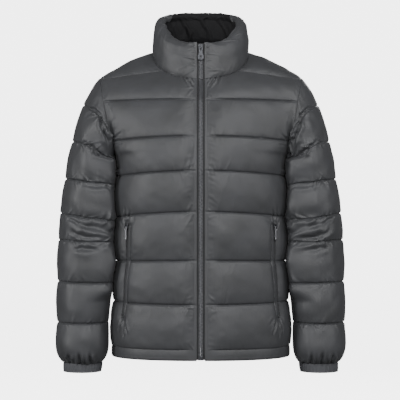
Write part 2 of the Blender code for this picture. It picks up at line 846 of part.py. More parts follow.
def build_slider(name, size, hinge, turned):
    """A slider's front plate with its bail, as one solid; the hinge lies inside the bail."""
    face_y = HINGE_TO_FACE
    mesh = bmesh.new()
    rounded_block(mesh, size, Vector((0.0, face_y + size.y / 2, 0.0)), 0.0008)
    slider = finish_mesh(name, mesh)
    bail = build_bail(name + "_bail", face_y)
    joined = slider.modifiers.new("bail", "BOOLEAN")
    joined.operation = "UNION"
    joined.object = bail
    bpy.context.view_layer.update()
    evaluated = slider.evaluated_get(bpy.context.evaluated_depsgraph_get())
    data = bpy.data.meshes.new_from_object(evaluated)
    slider.modifiers.remove(joined)
    slider.data = data
    bpy.data.objects.remove(bail)
    slider.matrix_world = Matrix.Translation(hinge) @ turned
    give_material(slider, METAL, 0.35, 1.0)


def build_pull(name, outline, hinge, turned):
    """A flat pull tab, hanging from its eye, with its origin on the hinge."""
    curve = bpy.data.curves.new(name, "CURVE")
    curve.dimensions = "2D"
    curve.fill_mode = "BOTH"
    curve.extrude = PULL_WALL / 2
    right = [(point.half_width, -point.drop) for point in outline]
    left = [(-x, y) for x, y in reversed(right)]
    top, bottom = EYE_DROP
    corner = EYE_HALF_WIDTH * 0.45
    eye = [(EYE_HALF_WIDTH, -top - corner), (EYE_HALF_WIDTH, -bottom + corner),
           (corner, -bottom), (-corner, -bottom),
           (-EYE_HALF_WIDTH, -bottom + corner), (-EYE_HALF_WIDTH, -top - corner),
           (-corner, -top), (corner, -top)]
    for points in (right + left, eye):
        line = curve.splines.new("POLY")
        line.points.add(len(points) - 1)
        line.use_cyclic_u = True
        for point, (x, y) in zip(line.points, points):
            point.co = (x, y, 0.0, 1.0)
    pull = solid_from_curve(name, curve)
    upright = Matrix.Rotation(math.radians(90), 4, "X")
    pull.data.transform(upright)
    pull.matrix_world = Matrix.Translation(hinge) @ turned
    give_material(pull, METAL, 0.35, 1.0)


def build_front_zip():
    build_zip_tape("front_zip_left", 1)
    build_zip_tape("front_zip_right", -1)
    slider_back = zip_depth(SLIDER_Z) - SEAM_WALL + COIL_RISE
    hinge = Vector((0.0, -slider_back - SLIDER_SIZE.y - HINGE_TO_FACE, SLIDER_Z))
    build_slider("front_zip_slider", SLIDER_SIZE, hinge, Matrix())
    build_pull("front_zip_pull", FRONT_PULL, hinge, Matrix())
    box = bmesh.new()
    box_z = ZIP_END_Z + BOX_SIZE.z / 2
    box_back = zip_depth(box_z) - SEAM_WALL + COIL_RISE
    rounded_block(box, BOX_SIZE, Vector((0.0, -box_back - BOX_SIZE.y / 2, box_z)), 0.0008)
    give_material(finish_mesh("front_zip_box", box), METAL, 0.35, 1.0)


# ---------------------------------------------------------------- pockets

def front_column(share, level):
    placket_end = share_at(ZIP_OPENING + PLACKET, level)
    return (share - placket_end) / (1 - placket_end)


def pocket_place(aside, along, rise):
    """On the front's skin beside the slit: aside is towards the side seam, rise is outwards."""
    level, share = pocket_line(along)
    step = 0.01
    pace = (front_point(share + step, level) - front_point(share - step, level)).length
    share += aside * 2 * step / pace
    point = front_facet(front_column(share, level), level)
    return point - inward(point) * rise


def front_facet(column, level):
    """A place on the flat faces between the front's own rows and columns."""
    left, right = neighbours(FRONT_COLUMNS, column)
    below, above = neighbours(body_levels(TOP_SEAM), level)
    part = (column - left) / (right - left)
    low = front_outer(left, below).lerp(front_outer(right, below), part)
    high = front_outer(left, above).lerp(front_outer(right, above), part)
    return low.lerp(high, (level - below) / (above - below))


def neighbours(values, wanted):
    for low, high in zip(values, values[1:]):
        if wanted <= high:
            break
    return low, high


def pocket_stations():
    """The slit's rows: its two ends, and each row of the front between them."""
    top = level_at(POCKET_TOP_Z)
    end = level_at(POCKET_END_Z)
    between = [level for level in body_levels(TOP_SEAM) if end + 0.02 < level < top - 0.02]
    heights = [seam_at(level).side_z for level in between]
    span = POCKET_TOP_Z - POCKET_END_Z
    return [1.0] + [(POCKET_TOP_Z - height) / span for height in heights] + [0.0]


def build_strip(name, side, near, far, wall, colour):
    part = closed_wall(
        name,
        lambda aside, along: mirrored(pocket_place(aside, along, POCKET_CLEAR + wall), side),
        lambda aside, along: mirrored(pocket_place(aside, along, POCKET_CLEAR), side),
        (near, (near + far) / 2, far),
        pocket_stations(),
    )
    give_material(part, colour, 0.6)


def pocket_frame(side):
    """The pocket slider's hinge and the way it is turned: X along the hinge, Z up the slit."""
    along = POCKET_SLIDER_DROP / (POCKET_TOP_Z - POCKET_END_Z)
    on_slit = mirrored(pocket_place(0.0, along, 0.0), side)
    near = mirrored(pocket_place(-0.006, along, 0.0), side)
    far = mirrored(pocket_place(0.006, along, 0.0), side)
    hinge_line = ((far - near) * side).normalized()
    hinge_line.z = 0.0
    hinge_line.normalize()
    up = Vector((0.0, 0.0, 1.0))
    back = up.cross(hinge_line).normalized()
    turned = Matrix((hinge_line, back, up)).transposed().to_4x4()
    reach = POCKET_CLEAR * 2 + WELT_WALL + POCKET_SLIDER_SIZE.y + HINGE_TO_FACE
    return on_slit - back * reach, turned


def build_pocket(word, side):
    build_strip("pocket_welt_" + word, side, -WELT_WIDTH, -SEAM_GAP, WELT_WALL, CLOTH)
    build_strip("pocket_zip_" + word, side, SEAM_GAP, POCKET_ZIP_WIDTH, POCKET_ZIP_WALL, TAPE)
    hinge, turned = pocket_frame(side)
    build_slider("pocket_slider_" + word, POCKET_SLIDER_SIZE, hinge, turned)
    build_pull("pocket_pull_" + word, POCKET_PULL, hinge, turned)


# ---------------------------------------------------------------- the jacket

for old in list(bpy.data.objects):
    bpy.data.objects.remove(old)
jacket = bpy.data.collections.new(OBJECT)
bpy.context.scene.collection.children.link(jacket)

build_back()
build_yoke()
build_collar()
build_hem_band()
build_front_zip()
for word, side in (("left", 1), ("right", -1)):
    build_front("front_" + word, side)
    build_sleeve("sleeve_" + word, side)
    build_cuff("cuff_" + word, side)
    build_pocket(word, side)
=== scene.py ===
"""A men's quilted puffer jacket, size M, zipped up and filled out as if worn, with nobody in it."""
import math

import bmesh
import bpy
import numpy as np
from mathutils import Matrix, Vector
from mathutils.bvhtree import BVHTree


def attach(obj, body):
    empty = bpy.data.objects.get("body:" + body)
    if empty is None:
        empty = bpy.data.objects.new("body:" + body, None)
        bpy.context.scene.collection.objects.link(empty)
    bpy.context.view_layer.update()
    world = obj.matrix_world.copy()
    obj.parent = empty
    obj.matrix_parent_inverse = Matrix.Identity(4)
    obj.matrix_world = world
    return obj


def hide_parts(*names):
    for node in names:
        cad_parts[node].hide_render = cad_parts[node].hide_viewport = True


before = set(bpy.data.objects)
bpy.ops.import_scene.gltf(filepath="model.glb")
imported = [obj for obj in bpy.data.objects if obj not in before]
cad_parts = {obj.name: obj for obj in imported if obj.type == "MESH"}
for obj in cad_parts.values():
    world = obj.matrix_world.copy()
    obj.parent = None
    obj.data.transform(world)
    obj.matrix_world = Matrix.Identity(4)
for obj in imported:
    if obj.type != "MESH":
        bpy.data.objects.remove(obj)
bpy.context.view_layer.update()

# ------------------------------------------------------------------------------------------
# Studio: a pale paper surround with a flat floor, which the camera sees as evenly lit, a wide
# soft light before the chest, weaker ones at the sides and behind, and a camera at waist height.

CAMERA_DISTANCE = 3.0
CAMERA_HEIGHT = -0.334
CAMERA_ASIDE = -0.0016
FRAME_WIDTH = 0.912         # metres across the picture at the origin
SURROUND_RADIUS = 8.0
FLOOR_Z = -1.15
PAPER_GLOW = 5.0
WORLD_GLOW = 0.12


def linear(hex_colour):
    """An sRGB hex colour as the linear RGBA that Blender's sockets take."""
    channels = [int(hex_colour[k:k + 2], 16) / 255 for k in (0, 2, 4)]
    curve = [c / 12.92 if c <= 0.04045 else ((c + 0.055) / 1.055) ** 2.4 for c in channels]
    return (*curve, 1.0)


def new_material(name, hex_colour, **inputs):
    """A material, its node tree and its shader, with the shader's constant inputs set."""
    material = bpy.data.materials.new(name)
    material.use_nodes = True
    shader = material.node_tree.nodes["Principled BSDF"]
    shader.inputs["Base Color"].default_value = linear(hex_colour)
    for key, value in inputs.items():
        shader.inputs[key.replace("_", " ")].default_value = value
    return material, material.node_tree, shader


def add_object(name, data):
    thing = bpy.data.objects.new(name, data)
    bpy.context.scene.collection.objects.link(thing)
    return thing


bpy.ops.object.select_all(action="DESELECT")
bpy.ops.mesh.primitive_uv_sphere_add(segments=48, ring_count=24, radius=SURROUND_RADIUS)
surround = bpy.context.object
surround.name = "paper_surround"
for vertex in surround.data.vertices:
    vertex.co.z = max(vertex.co.z, FLOOR_Z)
surround.data.flip_normals()
surround.data.shade_smooth()
paper, _, paper_shader = new_material("lit_paper", "f2f2f2", Roughness=0.9,
                                      Emission_Strength=PAPER_GLOW)
paper_shader.inputs["Emission Color"].default_value = linear("f4f4f4")
surround.data.materials.append(paper)
surround.visible_diffuse = surround.visible_glossy = surround.visible_shadow = False

world = bpy.data.worlds.new("studio")
bpy.context.scene.world = world
world.use_nodes = True
backdrop = world.node_tree.nodes["Background"].inputs
backdrop["Color"].default_value = linear("f4f4f5")
backdrop["Strength"].default_value = WORLD_GLOW


def softbox(name, place, aim, size, watts):
    data = bpy.data.lights.new(name, "AREA")
    data.shape = "RECTANGLE"
    data.size, data.size_y = size
    data.energy = watts
    light = add_object(name, data)
    light.location = place
    light.rotation_euler = (Vector(aim) - Vector(place)).to_track_quat("-Z", "Y").to_euler()


softbox("key_before_chest", (-0.05, -2.9, 0.40), (0, 0, -0.36), (2.2, 0.7), 48)
softbox("high_right", (1.1, -1.9, 1.5), (0.1, 0, -0.20), (0.9, 0.7), 23)
softbox("strip_left", (-2.3, -1.5, 0.25), (0, 0, -0.35), (0.6, 1.8), 40)
softbox("strip_right", (2.3, -1.5, 0.3), (0, 0, -0.35), (0.6, 1.8), 20)
softbox("back_above", (0.4, 2.6, 0.9), (0, 0, -0.35), (1.5, 1.0), 34)

lens = bpy.data.cameras.new("camera")
camera = add_object("camera", lens)
lens.sensor_width = 36.0
lens.lens = lens.sensor_width * CAMERA_DISTANCE / FRAME_WIDTH
camera.location = (CAMERA_ASIDE, -CAMERA_DISTANCE, CAMERA_HEIGHT)
camera.rotation_euler = (math.radians(90), 0, 0)
bpy.context.scene.camera = camera

# ------------------------------------------------------------------------------------------
# Fronts: two quilted panels of down-proof nylon with seven channels, a flat stitched placket
# beside the zip and a slanted pocket. They are cut to lie on the hollow form that the filling
# holds open, stitched to their lining along the seams, and swelled by the filling.

SEAM_GAP = 0.0003
SEAM_WALL = 0.0025
PUFF = 0.0075
FILL = 0.0105
LINING_DROP = 0.0045        # the lining hangs this much lower away from the edges
LINING_SLOPE = 4            # and comes down over this many places of the mesh
ARMHOLE_LINING = 0.003      # and lies this much further back by the armhole
VALLEY_WIDTH = 0.0022
DEEPEST_FOLD = 0.0052
FOLD_SLOPE = 0.016          # folds grow to that depth within this distance of an edge
PUFF_LENGTH = 0.080
PUFF_POWER = 0.55
# Front z, side z, back z, half width, front depth and back depth at each quilt seam, hem first
BODY_SEAMS = np.array((
    (-0.662, -0.662, -0.662, 0.2015, 0.128, 0.118),
    (-0.564, -0.561, -0.560, 0.1970, 0.126, 0.114),
    (-0.467, -0.471, -0.469, 0.1920, 0.124, 0.112),
    (-0.360, -0.372, -0.369, 0.1910, 0.127, 0.116),
    (-0.270, -0.281, -0.277, 0.1900, 0.131, 0.123),
    (-0.194, -0.203, -0.196, 0.1935, 0.128, 0.122),
    (-0.112, -0.114, -0.108, 0.2165, 0.103, 0.108),
    (-0.065, -0.060, -0.060, 0.2273, 0.080, 0.090),
))
TOP_SEAM = 7
YOKE_SEAM = 6
SQUARENESS = 2.35           # of the body's section: 2 is an ellipse
ARM_WRAP = 0.80             # rows that end on an armhole turn less far round to the side
WRAP_RISE = 0.110
END_POWER = 1.8             # the armhole's depth is felt only near a row's end
SIDE_RISE = 0.030
SHOULDER_TIP = np.array((0.228, 0.0, -0.057))
UNDERARM = np.array((0.192, 0.0, -0.236))
ARMHOLE_DEPTH = 0.075
NECK_HALF_WIDTH = 0.107
NECK_FRONT = 0.080
NECK_BACK = 0.075
NECK_DROP = 0.065
NECK_RISE = 0.015
YOKE_NECK_TURN = 51.7       # degrees round the neckline from the front
YOKE_ARM_TURN = 17.0        # degrees round the armhole from the shoulder tip, forwards
ZIP_OPENING = 0.009         # half the gap between the front edges
PLACKET = 0.006
SIDE_PUFF = 0.45            # share of the swelling left at a side seam
ARMHOLE_ROOM = 0.35
POCKET_TOP_Z = -0.392
POCKET_END_Z = -0.592
POCKET_TOP_ACROSS = 0.835   # of the half width
POCKET_END_ACROSS = 0.865
POCKET_FLAT_WIDTH = 0.020
POCKET_FLAT = 0.80
ROWS_EACH = 18              # rows of mesh in one channel before the refining
ROW_CROWDING = 0.080        # how much closer together they lie by the seams
PLACKET_COLUMNS = 2
FRONT_COLUMNS = 48
FILL_FRAMES = 16
FRONT_CAP = 0.005           # how far the filling may move the cloth
SHARP_CLOTH = 70            # degrees, past which an edge is not smoothed


def vectors(x, y, z):
    return np.stack(np.broadcast_arrays(x, y, z), axis=-1).astype(float)


def unit(v):
    return v / np.linalg.norm(v, axis=-1, keepdims=True)


def smooth(value):
    """An S curve from 0 to 1."""
    value = np.clip(value, 0, 1)
    return value * value * (3 - 2 * value)


def hump(value):
    """1 at 0, and almost gone at 2 on both sides."""
    return np.exp(-value ** 2)


def length_of(steps):
    return np.linalg.norm(steps, axis=-1)


def mix(start, end, share):
    return start + (end - start) * share


def inward(points):
    """The way from places on the body towards the middle of the hollow."""
    x, z = points[..., 0], points[..., 2]
    return unit(vectors(0.45 * x, 0, np.minimum(z, -0.150)) - points)


def armhole_point(turn):
    middle = (SHOULDER_TIP + UNDERARM) / 2
    angle = np.radians(np.asarray(turn, float))[..., None]
    forward = np.array((0.0, -ARMHOLE_DEPTH, 0.0))
    return middle + (SHOULDER_TIP - middle) * np.cos(angle) + forward * np.sin(angle)


def armhole_turn(height):
    middle = (SHOULDER_TIP[2] + UNDERARM[2]) / 2
    return np.degrees(np.arccos(np.clip((height - middle) / (SHOULDER_TIP[2] - middle), -1, 1)))


def neck_point(turn):
    turn = np.asarray(turn, float)
    angle = np.radians(turn)
    past = turn / 90 - 1
    front = past < 0
    depth = np.where(front, NECK_FRONT, NECK_BACK)
    height = np.where(front, NECK_DROP * ((turn / 90) ** 2 - 1), NECK_RISE * past * (2 - past))
    return vectors(NECK_HALF_WIDTH * np.sin(angle), -depth * np.cos(angle), height)


def row_of(table, level):
    return [np.interp(level, np.arange(len(table)), table[:, k]) for k in range(table.shape[1])]


def row_end(level, face):
    """Where a body row ends: on the side seam, or on the armhole above the underarm."""
    _, side_z, _, half_width, _, _ = row_of(BODY_SEAMS, level)
    on_side = vectors(half_width, 0, side_z)
    on_armhole = armhole_point(-face * armhole_turn(side_z))
    return np.where((side_z <= UNDERARM[2])[..., None], on_side, on_armhole)


def row_wrap(level):
    above = (row_of(BODY_SEAMS, level)[1] - UNDERARM[2]) / WRAP_RISE
    return mix(1.0, ARM_WRAP, smooth(above)) * math.pi / 2


def body_point(share, level, face):
    """A place on the body: share 0 at the middle to 1 at the side, face -1 is the front."""
    share, level = np.broadcast_arrays(np.asarray(share, float), np.asarray(level, float))
    front_z, _, back_z, _, front_depth, back_depth = row_of(BODY_SEAMS, level)
    end = row_end(level, face)
    wrap = row_wrap(level)
    power = 2 / SQUARENESS
    across = (np.sin(share * wrap) / np.sin(wrap)) ** power
    last = np.maximum(np.cos(wrap), 0) ** power
    out = (np.maximum(np.cos(share * wrap), 0) ** power - last) / (1 - last)
    depth = front_depth if face < 0 else back_depth
    middle_z = front_z if face < 0 else back_z
    y = face * (depth * out + np.abs(end[..., 1]) * (1 - out) ** END_POWER)
    return vectors(end[..., 0] * across, y, mix(middle_z, end[..., 2], across ** 2))


def share_at(x, level):
    wrap = row_wrap(level)
    across = x / row_end(level, -1)[..., 0]
    return np.arcsin(across ** (SQUARENESS / 2) * np.sin(wrap)) / wrap


def shoulder_seam_point(x):
    """The front's top edge: the neckline, then the forward shoulder seam."""
    corner = neck_point(YOKE_NECK_TURN)
    tip = armhole_point(YOKE_ARM_TURN)
    on_neck = neck_point(np.degrees(np.arcsin(np.clip(x / NECK_HALF_WIDTH, 0, 1))))
    part = (x - corner[0]) / (tip[0] - corner[0])
    on_shoulder = corner + (tip - corner) * part[..., None]
    return np.where((x < corner[0])[..., None], on_neck, on_shoulder)


def front_point(share, level):
    point = body_point(share, level, -1)
    above = np.maximum(level - YOKE_SEAM, 0)
    top = body_point(share, TOP_SEAM + 0 * level, -1)
    return point + (shoulder_seam_point(top[..., 0]) - top) * (above ** 2)[..., None]


def channel_shape(part):
    """How a channel swells between two seams: steep by the stitches and flat on top."""
    return np.sin(np.pi * np.clip(part, 0, 1)) ** PUFF_POWER


def fullness(form, level, seams):
    """0 at each seam to 1 in the middle of a channel, less where the channel is short."""
    low = np.minimum(np.floor(level), seams - 1)
    length = length_of(form(low + 1) - form(low))
    return channel_shape(level - low) * np.clip(length / PUFF_LENGTH, 0, 1)


def channel_rows(seams, each=ROWS_EACH):
    """Rows of a quilted piece, closer together by its seams."""
    steps = np.arange(seams * each + 1) / each
    return steps - ROW_CROWDING * np.sin(2 * np.pi * steps)


def lining_depth(full, wrap=False):
    """How far in the lining lies: it is sewn to the shell at the edges and hangs free between."""
    row, column = np.indices(full.shape)
    from_edge = np.minimum(row, row[::-1])
    if not wrap:
        from_edge = np.minimum(from_edge, np.minimum(column, column[:, ::-1]))
    return (SEAM_WALL + FILL * full + LINING_DROP * smooth(from_edge / LINING_SLOPE))[..., None]


def run_length(grid, axis=0):
    """Each place's distance along its line of a grid, in metres."""
    steps = length_of(np.diff(grid, axis=axis))
    start = np.zeros_like(np.take(steps, [0], axis=axis))
    return np.concatenate((start, np.cumsum(steps, axis=axis)), axis=axis)


def even_steps(form, count):
    """Values from 0 to 1 that are evenly spaced along form(value)."""
    values = np.linspace(0, 1, 400)
    length = run_length(form(values))
    return np.interp(np.linspace(0, length[-1], count), length, values)


def uneven(points, size, seed):
    """A smooth uneven field of about -1 to 1, with bumps of the given size."""
    waves = 16
    random = np.random.default_rng(seed)
    total = np.zeros(points.shape[:-1])
    for _ in range(waves):
        way = unit(random.normal(size=3)) * 2 * math.pi / size * random.uniform(0.55, 1.5)
        total += np.sin(points @ way + random.uniform(0, 2 * math.pi))
    return total / math.sqrt(waves)


def square_faces(rows, columns, wrap=False, first=0):
    """Corner numbers of the squares of a grid of vertices, turning from columns to rows."""
    index = first + np.arange(rows * columns).reshape(rows, columns)
    right = np.roll(index, -1, axis=1)
    last = columns if wrap else columns - 1
    corners = (index[:-1, :last], right[:-1, :last], right[1:, :last], index[1:, :last])
    return np.stack(corners, axis=-1).reshape(-1, 4)


def grid_normals(grid, wrap=False):
    """The way out of each place of a grid, by the same turning as square_faces."""
    if wrap:
        along = np.roll(grid, -1, axis=1) - np.roll(grid, 1, axis=1)
    else:
        along = np.gradient(grid, axis=1)
    return unit(np.cross(along, np.gradient(grid, axis=0)))


def push(grid, depth, wrap=False):
    """Move a grid's places outwards."""
    return grid + grid_normals(grid, wrap) * depth[..., None]


def read_points(mesh):
    points = np.zeros(len(mesh.vertices) * 3)
    mesh.vertices.foreach_get("co", points)
    return points.reshape(-1, 3)


def stitched_sheet(name, grid, held, cap, pressure, spare, seed, wrap=False):
    """A sheet of shell cloth, pinned where it is stitched, ready for its filling.

    The cloth is cut larger than the form by spare, and cap is how far each place may move.
    """
    grid = push(grid, 0.0002 * uneven(grid, 0.028, seed) * (1 - held), wrap)
    mesh = bpy.data.meshes.new(name)
    flat = grid.reshape(-1, 3)
    mesh.from_pydata(flat.tolist(), [], square_faces(*grid.shape[:2], wrap).tolist())
    sheet = add_object(name, mesh)
    stitches = sheet.vertex_groups.new(name="stitches")
    stitches.add(np.flatnonzero(held.ravel() > 0).tolist(), 1.0, "ADD")
    sheet.shape_key_add(name="worn")
    cut = sheet.shape_key_add(name="cut")
    cut.data.foreach_set("co", (flat * np.array(spare)).ravel())
    cloth = sheet.modifiers.new("filling", "CLOTH")
    settings = {
        "quality": 5, "mass": 0.15, "air_damping": 4, "tension_stiffness": 20,
        "compression_stiffness": 20, "shear_stiffness": 8, "bending_stiffness": 0.05,
        "use_pressure": True, "uniform_pressure_force": pressure,
        "vertex_group_mass": "stitches", "rest_shape_key": cut,
    }
    for key, value in settings.items():
        setattr(cloth.settings, key, value)
    cloth.settings.effector_weights.gravity = 0
    cloth.collision_settings.use_collision = False
    cloth.point_cache.frame_start = 1
    cloth.point_cache.frame_end = FILL_FRAMES
    return sheet, grid, cap


def hold(shape, rows, columns=()):
    """1 on the stitched rows and columns of a grid and 0 elsewhere."""
    held = np.zeros(shape)
    held[list(rows)] = 1
    held[:, list(columns)] = 1
    return held


def fill(*sheets):
    """Swell the sheets together, take the places that they come to, and put them away."""
    for number in range(1, FILL_FRAMES + 1):
        bpy.context.scene.frame_set(number)
    depsgraph = bpy.context.evaluated_depsgraph_get()
    places = []
    for sheet, grid, cap in sheets:
        move = read_points(sheet.evaluated_get(depsgraph).data).reshape(grid.shape) - grid
        far = np.maximum(length_of(move), 1e-9)
        cap = np.maximum(cap, 1e-9)
        places.append(grid + move * (cap * np.tanh(far / cap) / far)[..., None])
    for sheet, _, _ in sheets:
        mesh = sheet.data
        bpy.data.objects.remove(sheet)
        bpy.data.meshes.remove(mesh)
    bpy.context.scene.frame_set(1)
    return places


def halve(grid, breaks, wrap=False):
    """Put a row between each two rows, on a smooth curve that has a corner at each break."""
    if wrap:
        after, before = np.roll(grid, -1, axis=0), np.roll(grid, 1, axis=0)
        between = (9 * (grid + after) - (before + np.roll(grid, -2, axis=0))) / 16
        return np.stack((grid, between), axis=1).reshape(-1, *grid.shape[1:])
    woven = []
    for low, high in zip(breaks, breaks[1:]):
        part = grid[low:high + 1]
        line = np.concatenate((2 * part[:1] - part[1:2], part, 2 * part[-1:] - part[-2:-1]))
        between = (9 * (line[1:-2] + line[2:-1]) - (line[:-3] + line[3:])) / 16
        woven.append(np.stack((part[:-1], between), axis=1).reshape(-1, *grid.shape[1:]))
    return np.concatenate(woven + [grid[-1:]])


def refine(grid, breaks, wrap=False):
    """Twice the rows, with a sharp valley at each quilt seam, and four times the columns."""
    columns = halve(grid, breaks).swapaxes(0, 1)
    for _ in range(2):
        columns = halve(columns, (0, len(columns) - 1), wrap)
    return columns.swapaxes(0, 1)


def cloth_lengths(grid):
    """Each place's distance along its row and along its column, in metres."""
    return run_length(grid, 1), run_length(grid, 0)


def puckers(along, off, seed, pitch=0.009, longest=0.030, broadest=0.0050, slanting=0.35):
    """Small folds, 0 to about 1 high and uneven in size, that run out of a line of stitches.

    along and off are each place's distances along the line and away from it, in metres.
    """
    random = np.random.default_rng(seed)
    depth = np.zeros(off.shape)
    at = along.min() + random.uniform(0, pitch)
    while at < along.max():
        width = random.uniform(0.45, 1) * broadest
        length = random.uniform(0.25, 1) * longest
        slant = random.normal(0, slanting)
        size = random.uniform(0.15, 1.0) ** 1.5
        aside = along - at - slant * off
        fold = hump(aside / width) - 0.45 * hump(aside / (2.1 * width))
        depth += fold * smooth(off / 0.004) * hump(off / length) * size
        at += pitch * random.uniform(0.45, 1.7)
    return depth


def seam_puckers(grid, seams, seed, **kind):
    """Puckers on both sides of each stitched row of a grid."""
    channel = 2 * ROWS_EACH
    across, up = cloth_lengths(grid)
    depth = np.zeros(grid.shape[:2])
    for number, seam in enumerate(seams):
        for low, high in ((seam - channel, seam), (seam, seam + channel)):
            if low < 0 or high >= len(grid):
                continue
            off = np.abs(up[low:high] - up[seam])
            along = np.broadcast_to(across[seam], off.shape)
            depth[low:high] += puckers(along, off, seed * 100 + 2 * number + (low == seam), **kind)
    return depth


def seam_valleys(grid, seams, deep=0.0012):
    """How far the thread draws the cloth in along its stitched rows."""
    _, up = cloth_lengths(grid)
    return sum(-deep * hump((up - up[seam]) / VALLEY_WIDTH) for seam in seams)


def creases(grid, lines, stray, face=-1):
    """Folds listed one by one: each line gives x and z of its two ends, its width, its depth and
    how far it bows, in millimetres. Beside a drawn-in line the cloth stands up."""
    towards = smooth((grid_normals(grid)[..., 1] * face + 0.05) / 0.35)
    total = np.zeros(grid.shape[:2])
    wander, strength = uneven(grid, 0.024, 5), 0.8 + 0.3 * uneven(grid, 0.030, 6)
    for x0, z0, x1, z1, wide, deep, bow in np.array(lines) / 1000:
        line = np.array((x1 - x0, z1 - z0))
        length = np.linalg.norm(line)
        from_start = grid[..., (0, 2)] - np.array((x0, z0))
        along = from_start @ line / length ** 2
        side = np.array((-line[1], line[0])) / length
        off = from_start @ side - bow * 4 * along * (1 - along) + stray * wide * wander
        ends = smooth((along + 0.02) / 0.30) * smooth((1.02 - along) / 0.30)
        ridge = hump((np.abs(off) - 1.7 * wide) / (1.1 * wide))
        total += deep * (0.55 * ridge - hump(off / wide)) * ends
    return total * towards * strength


def lined_piece(name, outer, inner, wrap=False, material=None):
    """Close a piece: its outer face, its inner face of every few places or of all, and the
    turned-in edges. It is shell and lining, or of one material."""
    rows, columns = outer.shape[:2]
    lining_first = rows * columns
    inner_rows, inner_columns = inner.shape[:2]
    outer_index = np.arange(lining_first).reshape(rows, columns)
    inner_index = lining_first + np.arange(inner_rows * inner_columns)
    inner_index = inner_index.reshape(inner_rows, inner_columns)
    shell = square_faces(rows, columns, wrap).tolist()
    lining = square_faces(inner_rows, inner_columns, wrap, lining_first)[:, ::-1].tolist()
    if wrap:
        outer_index = np.concatenate((outer_index, outer_index[:, :1]), axis=1)
        inner_index = np.concatenate((inner_index, inner_index[:, :1]), axis=1)
    edges = [(outer_index[0], inner_index[0], False), (outer_index[-1], inner_index[-1], True)]
    if not wrap:
        edges += [(outer_index[:, 0], inner_index[:, 0], True)]
        edges += [(outer_index[:, -1], inner_index[:, -1], False)]
    turned = []
    for outside, inside, flip in edges:
        step = (len(outside) - 1) // (len(inside) - 1)
        for k in range(len(inside) - 1):
            chain = outside[k * step:(k + 1) * step + 1][::-1].tolist()
            ring = chain + [int(inside[k]), int(inside[k + 1])]
            turned.append(ring[::-1] if flip else ring)
    mesh = bpy.data.meshes.new(name)
    places = np.concatenate((outer.reshape(-1, 3), inner.reshape(-1, 3)))
    mesh.from_pydata(places.tolist(), [], shell + turned + lining)
    if material:
        return finished_cloth(mesh, material)
    # The inner faces take the dark lining, whose darkness is partly painted shade.
    is_lining = np.zeros(len(mesh.polygons), np.int32)
    is_lining[len(shell) + len(turned):] = 1
    mesh.polygons.foreach_set("material_index", is_lining)
    return finished_cloth(mesh, shell_nylon, lining_taffeta_with_painted_shade)


def finished(mesh, sharp_angle, *materials):
    """A mesh as an object, smooth between edges that are sharper than an angle in degrees."""
    mesh.shade_smooth()
    mesh.set_sharp_from_angle(angle=math.radians(sharp_angle))
    for material in materials:
        mesh.materials.append(material)
    return add_object(mesh.name, mesh)


def finished_cloth(mesh, *materials):
    """A closed cloth mesh as an object, with its faces outwards."""
    solid = bmesh.new()
    solid.from_mesh(mesh)
    if solid.calc_volume(signed=True) < 0:
        bmesh.ops.reverse_faces(solid, faces=solid.faces[:])
    solid.to_mesh(mesh)
    solid.free()
    return finished(mesh, SHARP_CLOTH, *materials)


def sewn_in(piece, slot, *nodes):
    """A piece of the jacket that stands for its CAD nodes, where it has any."""
    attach(piece, "jacket")
    if nodes:
        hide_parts(*nodes)


TO_RIGHT = np.array((-1.0, 1.0, 1.0))    # turns a place on the wearer's left into the right's


def mirror(grid, wrap=False):
    """The same piece for the wearer's right, with its squares still turned outwards."""
    turned = np.roll(grid[:, ::-1], 1, axis=1) if wrap else grid[:, ::-1]
    return turned * TO_RIGHT


def add_node(tree, kind, settings, *links):
    """A node with its settings, and its links as (input, source node, source's output)."""
    node = tree.nodes.new(kind)
    for key, value in settings.items():
        if key in node.inputs:
            node.inputs[key].default_value = value
        else:
            setattr(node, key, value)
    for socket, source, output in links:
        tree.links.new(source.outputs[output], node.inputs[socket])
    return node


def make_uneven(tree, shader, place, size_mm, detail, tones, gloss):
    """Let colour and gloss vary together, in spots of about the given size.

    tones are two pairs of a position and a colour, and gloss is the least and most roughness.
    """
    spots = add_node(tree, "ShaderNodeTexNoise", {"Scale": 1000 / size_mm, "Detail": detail},
                     ("Vector", place, "Object"))
    shades = add_node(tree, "ShaderNodeValToRGB", {}, ("Fac", spots, "Fac"))
    for element, (position, tone) in zip(shades.color_ramp.elements, tones, strict=True):
        element.position, element.color = position, linear(tone)
    tree.links.new(shades.outputs["Color"], shader.inputs["Base Color"])
    finish = add_node(tree, "ShaderNodeMapRange", {"To Min": gloss[0], "To Max": gloss[1]},
                      ("Value", spots, "Fac"))
    tree.links.new(finish.outputs["Result"], shader.inputs["Roughness"])


